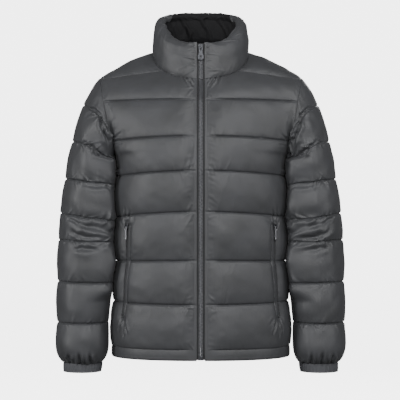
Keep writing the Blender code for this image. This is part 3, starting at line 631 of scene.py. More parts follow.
def woven_cloth(name, dark, light, roughness, crinkle_mm, crinkle_depth, weave_mm, **inputs):
    """Woven cloth: its dye is a little uneven, it is crinkled, and its weave is a faint bump.

    The weave is drawn coarser than it is: its waves are 2 pi times weave_mm wide.
    """
    material, tree, shader = new_material(name, light, **inputs)
    place = add_node(tree, "ShaderNodeTexCoord", {})
    gloss = (roughness - 0.05, roughness + 0.05)
    make_uneven(tree, shader, place, 55, 3.0, ((0.30, dark), (0.70, light)), gloss)
    crinkle = {"Scale": 1000 / crinkle_mm, "Detail": 2.0, "Distortion": 0.6}
    crumple = add_node(tree, "ShaderNodeTexNoise", crinkle, ("Vector", place, "Object"))
    soft = add_node(tree, "ShaderNodeBump", {"Strength": 0.5, "Distance": crinkle_depth},
                    ("Height", crumple, "Fac"))
    wave_scale = 1000 / weave_mm / 20
    threads = [
        add_node(tree, "ShaderNodeTexWave", {"bands_direction": way, "Scale": wave_scale},
                 ("Vector", place, "Object"))
        for way in ("DIAGONAL", "Z")
    ]
    crossing = add_node(tree, "ShaderNodeMath", {"operation": "MAXIMUM"},
                        (0, threads[0], "Fac"), (1, threads[1], "Fac"))
    weave = add_node(tree, "ShaderNodeBump", {"Strength": 0.25, "Distance": 0.00008},
                     ("Height", crossing, "Value"), ("Normal", soft, "Normal"))
    tree.links.new(weave.outputs["Normal"], shader.inputs["Normal"])
    return material


# Down-proof nylon taffeta, woven of 0.1 mm threads and calendered: a smooth, dark cloth with a
# satin gloss and a faint sheen. Its threads can't show, so it has faint waves 10 mm wide.
shell_nylon = woven_cloth("calendered_nylon_taffeta", "3b3c3e", "424346", 0.52, 14, 0.00015, 1.6,
                          Specular_IOR_Level=0.55, Sheen_Weight=0.08, Sheen_Roughness=0.4)
# Plain polyester taffeta lining, uncoated and matt: its dark colour is partly its own and partly painted
# shade for the shadowed inside.
lining_taffeta_with_painted_shade = woven_cloth("polyester_taffeta_and_painted_shade", "19191a", "202022", 0.75, 18, 0.0006, 1.6,
                             Specular_IOR_Level=0.2)


def side_puff(level):
    """Swelling left at a side seam, and none where the row ends on an armhole."""
    return SIDE_PUFF * smooth((UNDERARM[2] - row_of(BODY_SEAMS, level)[1]) / SIDE_RISE)


def armhole_room(points):
    """How far the swelling may go beside an armhole."""
    along = unit(SHOULDER_TIP - UNDERARM)
    across = np.array((along[2], 0.0, -along[0]))
    room = np.clip((UNDERARM - points) @ across * ARMHOLE_ROOM, 0, PUFF)
    return np.where(points[..., 2] < UNDERARM[2] - SIDE_RISE, PUFF, room)


def placket_share(column, level):
    """A row's share at a column: -1 to 0 is the placket and 0 to 1 the rest."""
    end = share_at(ZIP_OPENING + PLACKET, level)
    edge = share_at(ZIP_OPENING, level)
    return np.where(column < 0, mix(end, edge, -column), mix(end, 1.0, np.maximum(column, 0)))


def pocket_line(along):
    """The pocket's slit, from its top to its end: level and share of that row."""
    height = mix(POCKET_TOP_Z, POCKET_END_Z, along)
    level = np.interp(height, BODY_SEAMS[:, 1], np.arange(len(BODY_SEAMS)))
    x = row_end(level, -1)[..., 0] * mix(POCKET_TOP_ACROSS, POCKET_END_ACROSS, along)
    return level, share_at(x, level)


def pocket_along(points):
    return (POCKET_TOP_Z - points[..., 2]) / (POCKET_TOP_Z - POCKET_END_Z)


def pocket_off(points):
    """Distance from the pocket's slit."""
    level, share = pocket_line(np.clip(pocket_along(points), 0, 1))
    return length_of(front_point(share, level) - points)


def pocket_hold(points):
    """How much of the swelling is left beside the pocket's stitching."""
    return 1 - POCKET_FLAT * smooth(1 - pocket_off(points) / POCKET_FLAT_WIDTH)


def front_puffs(column, level):
    """The front's form and how full each place is."""
    share = placket_share(column, level)
    point = front_point(share, level)

    def form(seam):
        return front_point(placket_share(np.maximum(column, 0), seam), seam)

    full = fullness(form, level, TOP_SEAM)
    full *= smooth(column / 0.10) ** 0.5 * mix(side_puff(level), 1, smooth((1 - column) / 0.07))
    return point, full * pocket_hold(point) * (column > 0)


inner_part = even_steps(lambda c: front_point(placket_share(c, 3 + 0 * c), 3 + 0 * c), FRONT_COLUMNS + 1)
placket_part = np.linspace(-1, 0, PLACKET_COLUMNS + 1)[:-1]
front_column, front_level = np.meshgrid(np.concatenate((placket_part, inner_part)), channel_rows(TOP_SEAM))
form, full = front_puffs(front_column, front_level)
out = -inward(form)
start = form + out * np.minimum(PUFF * full, armhole_room(form))[..., None]
front_lining = form - out * lining_depth(full)
# By the armhole the form faces sideways, so the lining also goes straight back there
by_armhole = smooth((front_column - 0.80) / 0.20) * smooth((form[:, -1:, 2] + 0.23) / 0.03)
front_lining[..., 1] += ARMHOLE_LINING * by_armhole
front_seams = np.arange(TOP_SEAM + 1) * ROWS_EACH
held = hold(front_level.shape, front_seams, (*range(PLACKET_COLUMNS + 1), -1))
cap = np.minimum(FRONT_CAP, armhole_room(form) + 0.0005) * pocket_hold(form) * smooth(front_column / 0.08)
front_spare = (1.001, 1.001, 1.006)
left_front, right_front = fill(
    stitched_sheet("front_left", start, held, cap, 3.0, front_spare, 11),
    stitched_sheet("front_right", mirror(start), held[:, ::-1], cap[:, ::-1], 3.0, front_spare, 12),
)
# Creases under the collar, at the pocket's ends and at the armhole, in millimetres: x and z of
# both ends, width, depth and bow; the right front's are given as on the left
LEFT_FRONT_CREASES = (
    (44, -48, 12, -88, 2.3, 4.4, 1),
    (56, -44, 34, -78, 2, 3, -1),
    (30, -54, 12, -74, 1.9, 3, 1),
    (70, -36, 56, -62, 2.2, 2.2, 0),
    (167, -394, 159, -352, 2.1, 2.6, 1),
    (169, -394, 171, -346, 2.2, 2.8, -1),
    (171, -394, 182, -362, 2, 2.2, 1),
    (165, -392, 143, -378, 2.1, 1.8, 1),
    (170, -598, 160, -634, 2.1, 2.6, -1),
    (172, -598, 174, -642, 2.2, 2.8, 1),
    (174, -598, 184, -630, 2, 2, 1),
    (168, -596, 149, -610, 2, 1.8, -1),
    (196, -200, 176, -186, 2.6, 1.5, 1),
    (193, -216, 170, -211, 2.2, 1.3, -1),
)
RIGHT_FRONT_CREASES = (
    (42, -48, 12, -84, 2.3, 4.4, 1),
    (52, -44, 27, -80, 2, 3, -1),
    (26, -56, 12, -71, 1.9, 2.6, 1),
    (74, -33, 61, -57, 2.2, 2.2, 1),
    (166, -394, 156, -358, 2.1, 2.6, 1),
    (169, -394, 169, -348, 2.2, 2.8, 1),
    (171, -394, 184, -366, 2, 2.4, -1),
    (165, -393, 146, -384, 2, 1.8, 1),
    (170, -598, 162, -630, 2.1, 2.4, 1),
    (172, -598, 172, -640, 2.2, 2.8, -1),
    (174, -598, 186, -626, 2, 2.2, 1),
    (198, -196, 174, -184, 2.6, 1.6, 1),
    (194, -214, 172, -207, 2.4, 1.3, -1),
)


def within_wall(grid, depth):
    """Keep folds short of the lining, which is close to the shell at a panel's edges."""
    across, up = cloth_lengths(grid)
    from_edge = np.minimum(np.minimum(across, across[:, -1:] - across), np.minimum(up, up[-1:] - up))
    deepest = mix(0.1 * SEAM_WALL, DEEPEST_FOLD, smooth(from_edge / FOLD_SLOPE))
    return push(grid, np.maximum(depth, -deepest))


def front_detail(grid, seed, lines):
    """A left front's puckers: strongest by the placket, the armhole and the pocket."""
    column = refine(front_column[..., None], front_seams)[..., 0]
    level = refine(front_level[..., None], front_seams)[..., 0]
    seams = front_seams * 2
    by_edge = hump(column / 0.14) + hump((1 - column) / 0.20)
    upper = np.interp(level, (0, 3, 4, 5, 6, 7), (0.8, 0.8, 1.2, 1.4, 0.7, 0.7))
    depth = seam_puckers(grid, seams, seed) * (0.0004 + 0.0015 * by_edge * upper)
    placket = 4 * PLACKET_COLUMNS
    across, up = cloth_lengths(grid)
    from_placket = np.maximum(across - across[:, placket:placket + 1], 0)
    depth += 0.0018 * puckers(up, from_placket, seed + 1, pitch=0.0060, longest=0.022, broadest=0.0036)
    from_side = across[:, -1:] - across
    depth += 0.0012 * puckers(up, from_side, seed + 2, pitch=0.009, longest=0.030)
    slit_off = pocket_off(grid)
    by_slit = 0.0011 * puckers(grid[..., 2], slit_off, seed + 3, pitch=0.010, longest=0.030, broadest=0.0042)
    end = np.abs(pocket_along(grid) - 0.5) - 0.5
    depth += by_slit * smooth(1 - end / 0.06)
    depth += 0.0004 * uneven(grid, 0.055, seed)
    depth += creases(grid, lines, stray=0.25)
    depth *= smooth((column + 0.02) / 0.05) * mix(0.35, 1, smooth(slit_off / 0.012))
    return within_wall(grid, depth + seam_valleys(grid, seams[1:-1]))


left_front_outer = front_detail(refine(left_front, front_seams), 21, LEFT_FRONT_CREASES)
right_front_outer = front_detail(refine(mirror(right_front), front_seams), 24, RIGHT_FRONT_CREASES)
front_left = lined_piece("front_left_quilt", left_front_outer, front_lining[::2, ::2])
front_right = lined_piece("front_right_quilt", mirror(right_front_outer), mirror(front_lining[::2, ::2]))
for piece, node in ((front_left, "front_left"), (front_right, "front_right")):
    sewn_in(piece, "shell", node)

# ------------------------------------------------------------------------------------------
# Back: one quilted panel of the same nylon from side seam to side seam, up to the first quilt
# line, where the yoke is sewn on. Its seams carry on from the fronts'.

BACK_COLUMNS = 80
BACK_CAP = 0.007


def both_sides(across):
    """What turns places for the wearer's left into the right's where across is negative."""
    return vectors(np.where(across < 0, -1.0, 1.0), 1, 1)


def back_puffs(across, level):
    point = body_point(np.abs(across), level, 1)
    full = fullness(lambda seam: body_point(np.abs(across), seam, 1), level, TOP_SEAM)
    full *= mix(side_puff(level), 1, smooth((1 - np.abs(across)) / 0.06))
    return point, full, both_sides(across)


half = even_steps(lambda c: body_point(c, 3 + 0 * c, 1), BACK_COLUMNS // 2 + 1)
back_across, back_level = np.meshgrid(np.concatenate((half[::-1], -half[1:])), channel_rows(YOKE_SEAM))
form, full, sides = back_puffs(back_across, back_level)
out = -inward(form)
room = armhole_room(form)
start = (form + out * np.minimum(PUFF * full, room)[..., None]) * sides
back_lining = (form - out * lining_depth(full)) * sides
back_seams = np.arange(YOKE_SEAM + 1) * ROWS_EACH
held = hold(back_level.shape, back_seams, (0, -1))
cap = np.minimum(BACK_CAP, room + 0.0005)
(back_shell,) = fill(stitched_sheet("back", start, held, cap, 3.5, (1.015, 1.012, 1.022), 13))
# Creases at the waist and by the armholes, given as the fronts' are
BACK_CREASES = (
    (188, -205, 128, -178, 5.2, 2.6, 3),
    (186, -232, 142, -224, 4.4, 2, -2),
    (-189, -212, -124, -186, 5.2, 2.7, -3),
    (-187, -243, -148, -238, 4.2, 1.9, 2),
    (186, -392, 90, -408, 6.4, 1.8, 4),
    (-188, -418, -102, -400, 6, 2, 4),
)
outer = refine(back_shell, back_seams)
across, up = cloth_lengths(outer)
by_side = hump(across / 0.06) + hump((across[:, -1:] - across) / 0.06)
depth = seam_puckers(outer, back_seams * 2, 41) * (0.0006 + 0.0012 * by_side)
depth += 0.0012 * puckers(up, across, 42) + 0.0012 * puckers(up, across[:, -1:] - across, 43)
depth += 0.0005 * uneven(outer, 0.06, 44) + creases(outer, BACK_CREASES, face=1, stray=0.5)
depth += seam_valleys(outer, back_seams[1:] * 2)
back_outer = within_wall(outer, depth)
back = lined_piece("back_quilt", back_outer, back_lining[::2, ::2])
sewn_in(back, "shell", "back")

# ------------------------------------------------------------------------------------------
# Yoke: one quilted channel of the same nylon that goes over both shoulders, from the forward
# shoulder seams to the first quilt line of the back. The collar and both sleeves are sewn to it.

BLADE_NECK_TURN = 125.0
YOKE_RIDGE_SHARE = 0.22
YOKE_BLADE_SHARE = 0.48
YOKE_LIFT = 0.009
YOKE_COLUMNS = 72
YOKE_CAP = 0.006


def yoke_point(share, reach):
    """share runs from the shoulder seam to the middle back, reach from the neck outwards."""
    ridge, blade = YOKE_RIDGE_SHARE, YOKE_BLADE_SHARE
    blade_turn = -armhole_turn(BODY_SEAMS[YOKE_SEAM, 1])
    neck = np.interp(share, (0, ridge, blade, 1), (YOKE_NECK_TURN, 90, BLADE_NECK_TURN, 180))
    arm = np.interp(share, (0, ridge, blade), (YOKE_ARM_TURN, 0, blade_turn))
    past = np.clip((share - blade) / (1 - blade), 0, 1)
    on_back = body_point(1 - past, YOKE_SEAM + 0 * past, 1)
    far = np.where((share < blade)[..., None], armhole_point(arm), on_back)
    near = neck_point(neck)
    point = near + (far - near) * reach[..., None]
    lift = np.interp(share, (ridge, blade), (0, YOKE_LIFT)) * 4 * reach * (1 - reach)
    return point - inward(point) * lift[..., None]


half = np.linspace(0, 1, YOKE_COLUMNS // 2 + 1)
yoke_across, yoke_reach = np.meshgrid(np.concatenate((-half[:0:-1], half)), channel_rows(1, 2 * ROWS_EACH))
share = 1 - np.abs(yoke_across)
form = yoke_point(share, yoke_reach)
length = length_of(yoke_point(share, 0 * share + 1) - yoke_point(share, 0 * share))
full = channel_shape(yoke_reach) * np.clip(length / PUFF_LENGTH, 0, 1) * smooth(share / 0.10) ** 0.5
out = -inward(form)
sides = both_sides(yoke_across)
start = (form + out * (PUFF * full)[..., None]) * sides
yoke_lining = (form - out * lining_depth(full)) * sides
held = hold(share.shape, (0, -1), (0, -1))
from_edge = np.clip(np.minimum(yoke_reach, 1 - yoke_reach) / 0.12, 0, 1)
(yoke_shell,) = fill(stitched_sheet("yoke", start, held, YOKE_CAP * from_edge, 4.0, (1.02, 1.02, 1.02), 14))
yoke_seams = np.array((0, 2 * ROWS_EACH))
outer = refine(yoke_shell, yoke_seams)
across, up = cloth_lengths(outer)
depth = 0.0013 * puckers(across[:1], up, 51, pitch=0.010, longest=0.022)
depth += 0.0013 * puckers(across[-1:], up[-1:] - up, 52, pitch=0.010, longest=0.026)
depth += 0.0010 * puckers(up, across, 53) + 0.0010 * puckers(up, across[:, -1:] - across, 54)
depth += 0.0006 * uneven(outer, 0.05, 55)
by_edge = smooth(np.minimum(up, up[-1:] - up) / 0.004)
yoke_outer = push(outer, depth * by_edge)
yoke = lined_piece("yoke_quilt", yoke_outer, yoke_lining[::2, ::2])
sewn_in(yoke, "shell", "yoke")

# ------------------------------------------------------------------------------------------
# Sleeves: two quilted tubes of eight channels, closed by an underarm seam. They hang against the
# body down to the pocket, crumple most at the armhole and the elbow, and gather in at the cuff.

# Outer x and z, inner x and z, half depth, how far forward, and how far the front bows up
SLEEVE_RINGS = np.array((
    (0.2280, -0.057, 0.1920, -0.236, 0.075, 0.000, 0.000),
    (0.2650, -0.121, 0.1965, -0.245, 0.080, 0.000, 0.024),
    (0.2886, -0.203, 0.1975, -0.254, 0.079, 0.001, 0.010),
    (0.3030, -0.287, 0.1975, -0.305, 0.076, 0.003, 0.002),
    (0.3140, -0.364, 0.1975, -0.384, 0.073, 0.006, 0.000),
    (0.3180, -0.424, 0.1980, -0.428, 0.070, 0.009, 0.000),
    (0.3200, -0.517, 0.2010, -0.520, 0.065, 0.014, 0.000),
    (0.3206, -0.609, 0.2080, -0.609, 0.058, 0.021, 0.000),
    (0.3096, -0.699, 0.2220, -0.699, 0.040, 0.027, 0.000),
    (0.3096, -0.720, 0.2246, -0.720, 0.038, 0.029, 0.000),
))
CUFF_RING = 8
GATHER_POWER = 7            # the last channel keeps its width, then gathers in at the cuff
GATHERED_COLUMNS = [0, 2, 4]
HUG_TURN = 125.0
OUTER_EASE = 0.003          # the seams are less deep down a sleeve's outer side
SLEEVE_COLUMNS = 64
SLEEVE_CAP = 0.008
HUG_CAP = 0.0006
TOUCH_TURNS = 88.0          # a sleeve is drawn to the body within this of its inner side
TOUCH_GAP = 0.0010
TOUCH_TOP_Z = -0.234
TOUCH_END_Z = -0.562
REACH_STEP = 0.003          # size of a square of the map of how far out the body stands
REACH_SQUARES = (76, 150)   # of that map, in y and z
REACH_FIRST_Y = -0.110
REACH_MARGIN = 20           # squares at its front and back that may stay empty
FRONT_BESIDE = 70           # columns of the front's fine mesh that lie beside a sleeve
BACK_BESIDE = 60
# Creases in front and then those behind, given as the fronts' are
SLEEVE_CREASES = (
    (226, -140, 199, -217, 4.4, 5.8, 3),
    (254, -124, 220, -150, 4.2, 3.8, -3),
    (264, -196, 222, -232, 4, 2.8, 2),
    (240, -222, 202, -244, 4.2, 4, 2),
    (262, -295, 206, -316, 4.6, 2.8, -2),
    (272, -380, 203, -412, 6.2, 4.8, 3),
    (300, -374, 262, -392, 4, 2.4, -2),
    (296, -398, 236, -420, 4.6, 3.6, 3),
    (284, -434, 240, -449, 5, 3.6, 2),
    (246, -430, 205, -442, 4, 2.6, -1),
    (292.5, -672, 291, -706, 3, 5.2, 1),
    (270, -668, 271, -706, 3.2, 5.4, -1),
    (243.7, -670, 245, -706, 3, 5, 1),
)
ELBOW_CREASES = (
    (240, -122, 204, -216, 4.2, 3.8, 4),
    (264, -142, 216, -190, 3.4, 2.8, -3),
    (258, -210, 210, -240, 3.4, 2.6, 2),
    (252, -372, 214, -352, 3.6, 2.6, 2),
    (284, -398, 226, -392, 4, 3.4, -2),
    (300, -420, 246, -436, 3.4, 3, 2),
    (282, -640, 284, -694, 3.2, 3, 1),
    (256, -648, 255, -694, 3.4, 3.2, -1),
)


def sleeve_point(turn, level):
    """The left sleeve's form and its middle line; turn 0 is its outer side, 90 its front."""
    turn, level = np.broadcast_arrays(turn, level)
    ring = np.stack(row_of(SLEEVE_RINGS, level))
    low = CUFF_RING - 1
    late = np.clip(level - low, 0, 1) ** GATHER_POWER
    for k in GATHERED_COLUMNS:
        gathered = mix(SLEEVE_RINGS[low, k], SLEEVE_RINGS[CUFF_RING, k], late)
        ring[k] = np.where((level > low) & (level < CUFF_RING), gathered, ring[k])
    outer_x, outer_z, inner_x, inner_z, half_depth, forward, bow = ring
    angle = np.radians(turn)
    middle = vectors((outer_x + inner_x) / 2, -forward, (outer_z + inner_z) / 2)
    across = vectors((outer_x - inner_x) / 2, 0, (outer_z - inner_z) / 2)
    up = unit(vectors(-across[..., 2], 0, across[..., 0]))
    lift = bow * np.sin(angle) ** 2 - SEAM_GAP * np.clip(1 - level / 0.2, 0, 1)
    point = middle + across * np.cos(angle)[..., None] + up * lift[..., None]
    return point - vectors(0, half_depth * np.sin(angle), 0), middle


def neighbours(padded):
    """The values beside each place of a grid that has one more place all round."""
    return padded[:-2, 1:-1], padded[2:, 1:-1], padded[1:-1, :-2], padded[1:-1, 2:]


def softened(values, times):
    """A grid's values evened out with their neighbours; the columns close up into a ring."""
    for _ in range(times):
        values = (np.roll(values, 1, axis=1) + 2 * values + np.roll(values, -1, axis=1)) / 4
        values[1:-1] = (values[:-2] + 2 * values[1:-1] + values[2:]) / 4
    return values


def body_side(places, *panels):
    """How far out the body stands beside each place, from its two panels' last columns."""
    corner = np.array((REACH_FIRST_Y, BODY_SEAMS[0, 2]))
    reach = np.zeros(REACH_SQUARES)
    last = np.array(REACH_SQUARES) - 2
    skin = np.concatenate([panel.reshape(-1, 3) for panel in panels])
    cell = np.clip(np.round((skin[:, 1:] - corner) / REACH_STEP).astype(int), 1, last)
    for y_step in (-1, 0, 1):
        np.maximum.at(reach, (cell[:, 0] + y_step, cell[:, 1]), np.abs(skin[:, 0]))
    while (reach[REACH_MARGIN:-REACH_MARGIN] == 0).any():
        reach = np.where(reach > 0, reach, np.maximum.reduce(neighbours(np.pad(reach, 1))))
    reach = softened(reach, 2)
    spot = np.clip((places[..., 1:] - corner) / REACH_STEP, 0, last)
    low = spot.astype(int)
    (y, z), (j, k) = np.moveaxis(spot - low, -1, 0), np.moveaxis(low, -1, 0)
    return mix(mix(reach[j, k], reach[j + 1, k], y), mix(reach[j, k + 1], reach[j + 1, k + 1], y), z)


def drawn_to_body(grid, turn, *panels):
    """Lay a sleeve's inner side against the body, where it hangs beside it."""
    height = grid[..., 2]
    near = np.sqrt(smooth(1 - np.abs(180 - turn) / TOUCH_TURNS))
    near = near * smooth((height - TOUCH_END_Z) / 0.03) * smooth((TOUCH_TOP_Z - height) / 0.010)
    side = body_side(grid, *panels) + TOUCH_GAP
    x = mix(grid[..., 0], side, near)
    drawn = np.stack((np.where(near > 0, np.maximum(x, side), x), grid[..., 1], height), axis=-1)
    return mix(drawn, softened(drawn, 3), near[..., None])


def sleeve_detail(grid, turn, level, seed, lines, lines_behind):
    """A left sleeve's folds: far more than on the body, and most at the armhole and elbow."""
    seams = sleeve_seams * 2
    facing = 0.30 + np.abs(np.sin(np.radians(turn)))
    crumple = np.interp(level, range(9), (0.6, 1.5, 1.4, 1.1, 1.5, 1.5, 0.8, 0.7, 1.5))
    inner = 0.7 + 0.5 * np.cos(np.radians(turn - 130))
    small = seam_puckers(grid, seams, seed, pitch=0.0085, longest=0.018, broadest=0.0044, slanting=0.8)
    large = seam_puckers(grid, seams, seed + 1, pitch=0.026, longest=0.060, broadest=0.0085)
    drag = np.interp(level, range(9), (1.0, 1.4, 1.2, 0.8, 1.3, 1.2, 0.4, 0.4, 0.8))
    depth = small * 0.0050 * crumple * inner + large * 0.0010 * drag
    depth += 0.0010 * uneven(grid, 0.045, seed) * drag
    depth += creases(grid, lines, stray=0.5) + creases(grid, lines_behind, face=1, stray=0.5)
    by_armhole = smooth(level / 0.35)
    depth = softened(depth, 1) * facing * by_armhole + seam_valleys(grid, seams[1:-1], deep=0.0016)
    deepest = mix(0.0018, DEEPEST_FOLD, smooth((CUFF_RING - level) / 0.12))
    return push(grid, np.maximum(depth, -deepest), True)


def for_side(side, *grids, wrap=False):
    """Grids made for the wearer's left, mirrored where side is -1."""
    return [mirror(grid, wrap) for grid in grids] if side < 0 else grids


steps = 360 * np.arange(SLEEVE_COLUMNS) / SLEEVE_COLUMNS
sleeve_turn, sleeve_level = np.meshgrid(steps, channel_rows(CUFF_RING))
form, middle = sleeve_point(sleeve_turn, sleeve_level)
out = unit(form - middle)
full = fullness(lambda ring: sleeve_point(sleeve_turn, ring)[0], sleeve_level, CUFF_RING)
hug = smooth(1 - np.abs(180 - sleeve_turn) / (180 - HUG_TURN))
outer_side = smooth((np.cos(np.radians(sleeve_turn)) - 0.2) / 0.7)
outer_side = outer_side * smooth(sleeve_level) * smooth(CUFF_RING - sleeve_level)
flatter = 1 - 0.4 * outer_side
start = form + out * (PUFF * full * (1 - hug) * flatter + OUTER_EASE * outer_side)[..., None]
sleeve_lining = form - out * lining_depth(full, wrap=True)
sleeve_seams = np.arange(CUFF_RING + 1) * ROWS_EACH
held = hold(sleeve_level.shape, sleeve_seams)
cap = mix(SLEEVE_CAP, HUG_CAP, hug) * smooth(sleeve_level / 0.6 + 0.15) * flatter
sleeve_spare = (1.02, 1.02, 1.03)
left_sleeve, right_sleeve = fill(
    stitched_sheet("sleeve_left", start, held, cap, 4.0, sleeve_spare, 15, wrap=True),
    stitched_sheet("sleeve_right", mirror(start, True), held, cap, 4.0, sleeve_spare, 16, wrap=True),
)
fine_turn = 360 * np.arange(4 * SLEEVE_COLUMNS) / (4 * SLEEVE_COLUMNS)
fine_level = halve(sleeve_level[:, :1], sleeve_seams)
sleeves = (
    ("sleeve_left", left_sleeve, left_front_outer, back_outer[:, :BACK_BESIDE], 61, 1),
    ("sleeve_right", mirror(right_sleeve, True), right_front_outer, back_outer[:, -BACK_BESIDE:], 65, -1),
)
for name, shell, front_panel, back_panel, seed, side in sleeves:
    # The right sleeve's creases lie a little elsewhere
    lines = np.array(SLEEVE_CREASES)
    if side < 0:
        lines += (0, -4, 0, 3, 0, 0, 0)
    outer = refine(shell, sleeve_seams, True)
    outer = sleeve_detail(outer, fine_turn, fine_level, seed, lines, ELBOW_CREASES)
    outer = drawn_to_body(outer, fine_turn, front_panel[:, -FRONT_BESIDE:], back_panel)
    outer, lining = for_side(side, outer, sleeve_lining[::2, ::2], wrap=True)
    sleeve = lined_piece(name + "_quilt", outer, lining, wrap=True)
    sewn_in(sleeve, "shell", name)

# ------------------------------------------------------------------------------------------
# Collar: a padded stand-up band in one channel, folded over at its rim, lower at the zip than
# behind the neck. It is sewn to the neckline, its ends carry the top of the zip, and its inner
# face is the dark lining, drawn into upright folds by the turn of the neck; part of the lining's
# darkness is painted shade.

COLLAR_RIM_TURNS = (0, 20, 34, 47, 60, 75, 90, 110, 135, 158, 180)
COLLAR_RIM_HEIGHTS = (0.016, 0.0168, 0.0225, 0.033, 0.047, 0.063, 0.0765, 0.088, 0.096, 0.1, 0.101)
COLLAR_RIM_HALF_WIDTH = 0.102
COLLAR_RIM_FRONT = 0.079
COLLAR_RIM_BACK = 0.070
COLLAR_START = 0.002
COLLAR_TUCK = 0.0015        # how far its inner edge hangs inside the neckline
COLLAR_PUFF = 0.0045
COLLAR_WALL = 0.025
COLLAR_RIM_ROLL = 0.0125    # the padded rim's radius
COLLAR_HEIGHT = 0.080
COLLAR_FACING = 0.84        # above this height the shell is turned in over the rim
COLLAR_ROWS = 150
COLLAR_FACE_STEPS = 22
COLLAR_CAP = 0.0040


def collar_turn(across):
    """across is 0 at the middle back, 1 where the placket begins and 2 at its edge."""
    placket = np.degrees(np.arcsin((ZIP_OPENING + PLACKET) / NECK_HALF_WIDTH))
    edge = np.degrees(np.arcsin(ZIP_OPENING / NECK_HALF_WIDTH))
    return np.interp(across, (0, 1, 2), (180, placket, edge))


def collar_point(across, height, depth):
    """A place in the collar: depth 0 is its outer form and counts towards the neck."""
    turn = collar_turn(np.abs(across))
    angle = np.radians(turn)
    rim_depth = np.where(turn < 90, COLLAR_RIM_FRONT, COLLAR_RIM_BACK)
    rim = vectors(
        COLLAR_RIM_HALF_WIDTH * np.sin(angle),
        -rim_depth * np.cos(angle),
        np.interp(turn, COLLAR_RIM_TURNS, COLLAR_RIM_HEIGHTS),
    )
    point = neck_point(turn)
    point = point + (rim - point) * height[..., None]
    level_inward = unit(vectors(-point[..., 0], -point[..., 1], 0))
    tuck = COLLAR_TUCK * np.clip(depth / SEAM_WALL, 0, 1) * np.clip(1 - height / 0.05, 0, 1)
    point = point + level_inward * depth[..., None] - vectors(0, 0, tuck)
    return point * both_sides(across)


def collar_edge(across):
    return smooth((1 - np.abs(across)) / 0.10) ** 0.5


def rim_roll(across, height, wall):
    """How far a face has turned over towards the other one at the padded rim."""
    radius = np.minimum(COLLAR_RIM_ROLL * collar_edge(across), wall / 2)
    above = np.clip((height - 1) * COLLAR_HEIGHT / np.maximum(radius, 1e-6) + 1, 0, 1)
    return radius * (1 - np.sqrt(1 - above ** 2))


def collar_wall(across, height):
    return mix(SEAM_WALL, mix(SEAM_WALL, COLLAR_WALL, smooth(height / 0.3)), collar_edge(across))


def collar_outer_depth(across, height):
    swelling = COLLAR_PUFF * np.sin(np.pi * np.clip(height / 0.9, 0, 1)) ** 0.6 * collar_edge(across)
    return rim_roll(across, height, collar_wall(across, height)) - swelling


def collar_inner_depth(across, height):
    wall = collar_wall(across, height)
    return wall - rim_roll(across, height, wall)


half = np.concatenate((np.linspace(0, 1, COLLAR_ROWS // 2), np.linspace(1, 2, 3)[1:]))
rise = COLLAR_START + (1 - COLLAR_START) * np.sin(np.linspace(0, np.pi / 2, COLLAR_FACE_STEPS)) ** 0.9
height, across = np.meshgrid(np.concatenate((rise, rise[::-1])), np.concatenate((-half[:0:-1], half)))
inside = np.broadcast_to(np.repeat((0.0, 1.0), COLLAR_FACE_STEPS), height.shape)
depth = np.where(inside > 0, collar_inner_depth(across, height), collar_outer_depth(across, height))
start = collar_point(across, height, depth)
held = hold(height.shape, (0, 1, 2, -3, -2, -1), (0, -1))
cap = COLLAR_CAP * smooth((1 - np.abs(across)) / 0.25) * smooth(height / 0.15)
(collar_shell,) = fill(stitched_sheet("collar", start, held, cap, 2.0, (1.03, 1.03, 1.02), 17, wrap=True))


def collar_fine(values):
    """Twice the rows across, and four times the columns up the outside and down the inside."""
    faces = np.split(halve(values, (0, len(values) - 1)).swapaxes(0, 1), 2)
    for _ in range(2):
        faces = [halve(face, (0, len(face) - 1)) for face in faces]
    return np.concatenate(faces).swapaxes(0, 1)


outer = collar_fine(collar_shell)
placing = collar_fine(np.stack((height, across, inside), axis=-1))
height, across, inside = np.moveaxis(placing, -1, 0)
rim = height.shape[1] // 2
along = run_length(outer)
up = length_of(outer - outer[:, :1])
depth = 0.0011 * puckers(along, up, 71, pitch=0.010, longest=0.020)
below_rim = length_of(outer - outer[:, rim:rim + 1])
by_rim = puckers(along, below_rim, 72, pitch=0.010, longest=0.026, broadest=0.0055)
depth += (0.0030 + 0.0022 * inside) * by_rim
from_zip = np.minimum(along, along[-1:] - along)
side = np.where(across < 0, 0.0, 1.0)
by_zip = puckers(outer[..., 2] + 0.2 * side, from_zip, 73, pitch=0.0068, longest=0.034, broadest=0.0036)
depth += 0.0026 * by_zip * (1 - inside)
# The lining's upright folds: place across, width as a share of a half, and depth
for place, wide, deep in (
    (0.05, 0.030, 0.0030), (-0.16, 0.022, 0.0034), (0.24, 0.024, 0.0028), (-0.33, 0.028, 0.0030),
    (0.41, 0.020, 0.0034), (-0.50, 0.022, 0.0026), (0.57, 0.024, 0.0026),
):
    fold = hump((across - place - 0.05 * np.sin(5 * height)) / wide)
    depth += 1.6 * inside * deep * (fold - 0.30) * smooth(height / 0.3) * smooth((1 - height) / 0.25)
depth += 0.0005 * uneven(outer, 0.040, 74)
depth *= smooth((1.3 - np.abs(across)) / 0.4) * smooth(up / 0.004)
room = 0.35 * collar_wall(np.abs(across), height)
depth = np.clip(depth, -room, room)
outer = push(outer, depth, True)
rows, columns = outer.shape[:2]
index = np.arange(rows * columns).reshape(rows, columns)
faces = square_faces(rows, columns, True).tolist()
ends = []
for end, turned in ((0, 1), (-1, -1)):
    for k in range(rim - 1):
        square = index[end, (k, k + 1, columns - 2 - k, columns - 1 - k)].tolist()
        ends.append(square[::turned])
mesh = bpy.data.meshes.new("collar_quilt")
mesh.from_pydata(outer.reshape(-1, 3).tolist(), [], faces + ends)
column = np.arange(len(faces)) % columns
